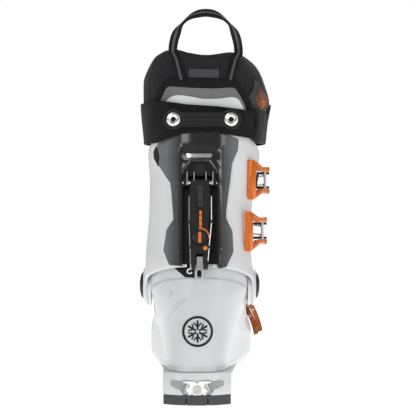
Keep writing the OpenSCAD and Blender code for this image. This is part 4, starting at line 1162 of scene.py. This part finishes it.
def build_liner_back():
    at = rear_surface(liner_point)
    outer, inner = round_corners(TRIM_OUT, 8, 6), round_corners(TRIM_IN, 4, 4)
    to_outer, to_inner = edge_distance(outer), edge_distance(inner)

    def trim_height(x, z):
        near = min(1, min(to_outer(x, z), to_inner(x, z)) / 0.0034)
        return 0.0010 + 0.0020 * math.sqrt(near * (2 - near))

    trim = patch("liner_trim", outer, at, trim_height, -0.0012, trim_cloth, [inner], 0.0015, 0)
    ride_as(trim, "cuff", "liner_fabric")
    panel = patch("liner_panel", inner, at, 0.0009, -0.0012, panel_cloth, low_bevel=0)
    ride_as(panel, "cuff", "spoiler_plastic")
    spoiler = patch("cuff_spoiler_plate", round_corners(CREST, 2.5, 3), at, 0.0028, 0.0012, cuff_white,
                    low_bevel=0.0005)
    ride_as(spoiler, "cuff", "spoiler_plastic", "cuff_spoiler")
    label = round_corners([(-8.2, 313.8), (20.2, 313.2), (20.4, 301.4), (-8.4, 302)], 0.8)
    ride_as(patch("liner_label_cloth", label, at, 0.0009, 0.0002, label_cloth, low_bevel=0.0002), "cuff",
            "label_fabric", "liner_label")


def build_diamond():
    """Cloth diamond on the outer side of the liner, in its side view's (y, z)."""
    turns = np.radians(np.linspace(20, 165, 161))

    def depth(u, w):
        spots = liner_point(np.full_like(turns, w), turns)
        order = np.argsort(spots[:, 1])
        return float(np.interp(u, spots[order, 1], spots[order, 0]))

    def at(y, z):
        u, w, e = y * 1000, z * 1000, 0.8
        x = depth(u, w)
        ny = -(depth(u + e, w) - depth(u - e, w)) / (2 * e)
        nz = -(depth(u, w + e) - depth(u, w - e)) / (2 * e)
        return Vector((x, u, w)) * MM, Vector((1, ny, nz)).normalized()

    outline = round_corners([(34, 306.5), (48, 285), (34, 262), (19, 285)], 2.5, 3)
    diamond = patch("liner_diamond", outline, at, 0.0009, 0.0001, diamond_cloth, grid=0.002,
                    low_bevel=0.0003)
    ride_as(diamond, "cuff", "patch_fabric", "liner_patch")


# ---------- power strap and pull loop ----------

LINER_RIM = 330
LOOP_MID, LOOP_HALF, LOOP_FOOT, LOOP_SPRING, LOOP_TOP = 8, 31.5, 23, 331, 366.6


def strap_edges(p):
    x, y = p[:, 0], p[:, 1]
    rear = smooth_step((70 - y) / 30)
    top = np.interp(x, [-53, -34, -10, 20, 45, 72], [283, 283.5, 279.5, 277.6, 275, 271.5])
    bottom = np.interp(x, [-53, -40, -14, 10, 30, 66], [243, 243.5, 252, 254, 251, 246.5])
    return mix(244.5, bottom, rear), mix(283.5, top, rear)


STRAP_MIDDLE = 264.0


def strap_band(name, turns, closed, grow, thick, inset=0.0):
    """Band of webbing with a pressed line along each edge."""
    low, high = strap_edges(strap_point(np.full(len(turns), STRAP_MIDDLE), turns))
    low, high = low + inset, high - inset

    def row(v, lift):
        wave = 0.35 * np.sin(turns * 9 + v * 5)
        return strap_point(mix(low, high, v), turns, grow + lift + wave)

    rings = []
    for v in (0, 0.006, 0.03, 0.06, 0.075, 0.09, 0.12, *np.linspace(0.2, 0.8, 9), 0.88, 0.91, 0.925, 0.94,
              0.97, 0.994, 1):
        near = min(v, 1 - v)
        swell = -0.5 if near < 0.003 else (-0.12 if near < 0.01 else 0.0)
        groove = -0.35 if abs(near - 0.075) < 0.004 else 0.0
        rings.append(row(v, swell + groove))
    rings += [row(v, -thick) for v in (0.994, 0.97, 0.5, 0.03, 0.006)]
    rows, columns = len(rings), len(turns)
    faces = ring_faces(rows, columns, closed, loop=True)
    if not closed:
        faces.append(tuple(i * columns for i in range(rows)))
        faces.append(tuple(i * columns + columns - 1 for i in reversed(range(rows))))
    return make_object(name, np.concatenate(rings) * MM, faces, [webbing], crease=math.radians(60))


def build_strap():
    turns = even_turns(strap_point, STRAP_MIDDLE, 240)
    band = strap_band("strap_band", turns, True, 0.0, 2.4)
    ride_as(band, "cuff", "strap_webbing", "power_strap")
    tail = strap_band("strap_tail", np.radians(np.linspace(66, -34, 70)), False, 3.1, 2.2, 1.6)
    ride_as(tail, "cuff", "strap_webbing")


def loop_path():
    legs = [(-mix(LOOP_FOOT, 28.5, i / 10), mix(303, 325, i / 10)) for i in range(10)]
    arc = [(-LOOP_HALF * math.cos(a), LOOP_SPRING + (LOOP_TOP - LOOP_SPRING) * math.sin(a))
           for a in np.radians(np.arange(0, 181, 3))]
    return [(LOOP_MID + u, w) for u, w in legs + arc + [(-u, w) for u, w in reversed(legs)]]


def build_loop():
    path = loop_path()
    n = len(path)
    at = rear_surface(liner_point)
    spine = []
    for x, z in path:
        rear, _ = at(max(-0.03, min(0.046, x * MM)), min(z, LINER_RIM) * MM)
        y = mix(rear.y * 1000 - 1.9, 9.0, float(smooth_step((z - LINER_RIM) / 34)))
        spine.append(Vector((x, y, z)))
    # half of the webbing's section: place across it and half its thickness
    columns = [(-4.2, 0.95), (-1.7, 0.95), (-1.2, 1.17), (1.2, 1.17), (1.7, 0.95), (4.2, 0.95)]
    flat = Vector((0, 1, 0))
    verts = []
    for i, p in enumerate(spine):
        along = (spine[min(n - 1, i + 1)] - spine[max(0, i - 1)]).normalized()
        side = along.cross(flat).normalized()
        share = 0.5 - abs(i / (n - 1) - 0.5)
        lean = math.radians(78 * float(smooth_step((share - 0.20) / 0.12))
                            - 46 * float(smooth_step((share - 0.33) / 0.14)))
        wide = side * math.cos(lean) + flat * math.sin(lean)
        thin = along.cross(wide).normalized()
        ring = columns + [(w, -h) for w, h in reversed(columns)]
        verts += [(p + wide * w + thin * h) * MM for w, h in ring]
    m = 2 * len(columns)
    faces = ring_faces(n, m)
    stripes = [1 if j % m in (2, 8) else 0 for j in range(len(faces))]
    faces += [tuple(range(m)), tuple(reversed(range((n - 1) * m, n * m)))]
    loop = make_object("pull_loop_band", verts, faces, [webbing, stripe_web],
                       stripes + [0, 0], math.radians(50))
    bevel(loop, 0.0003, 2, 50)
    ride_as(loop, "cuff", "loop_webbing", "pull_loop")


# ---------- carried-over CAD pieces ----------

FINISHES = {
    sole_white: ["heel_block", "toe_block"],
    rubber: ["heel_tread", "toe_tread"],
    steel: ["heel_screws", "toe_screws", "fitting_screw", "toe_fitting", "instep_pins", "toe_pins",
            "upper_pins", "lower_pins"],
    bright_steel: ["heel_fitting", "strap_rivets", "lever_axle", "lock_bar"],
    board_plastic: ["boot_board"],
    brass: ["hinge_bush_inner", "hinge_bush_outer"],
    part_black: ["instep_base", "toe_base", "upper_base", "lower_base", "instep_ladder", "toe_ladder",
                 "upper_ladder", "lower_ladder", "strap_plate", "strap_keeper", "walk_lever", "mode_dial"],
    channel_black: ["mech_housing"],
    orange_metal: ["upper_lever", "lower_lever"],
    # painted shade: the darker orange copy for the shell's levers
    shaded_orange_metal: ["instep_lever", "toe_lever"],
}
BEVELS = {"heel_block": 0.0012, "toe_block": 0.0012, "heel_tread": 0.0010, "toe_tread": 0.0010,
          "upper_lever": 0.0011, "lower_lever": 0.0011, "instep_lever": 0.0011, "toe_lever": 0.0011,
          "strap_plate": 0.0009, "walk_lever": 0.0007, "mech_housing": 0.0005}


def dress_nodes():
    for material, names in FINISHES.items():
        for name in names:
            obj = nodes[name]
            obj.data.materials.clear()
            obj.data.materials.append(material)
            bevel(obj, BEVELS.get(name, 0.0003), 2, 35, weld=True)


build_mechanism()
build_bails()
build_liner()
build_tongue()
build_insole()
build_liner_back()
build_diamond()
build_strap()
build_loop()
dress_nodes()
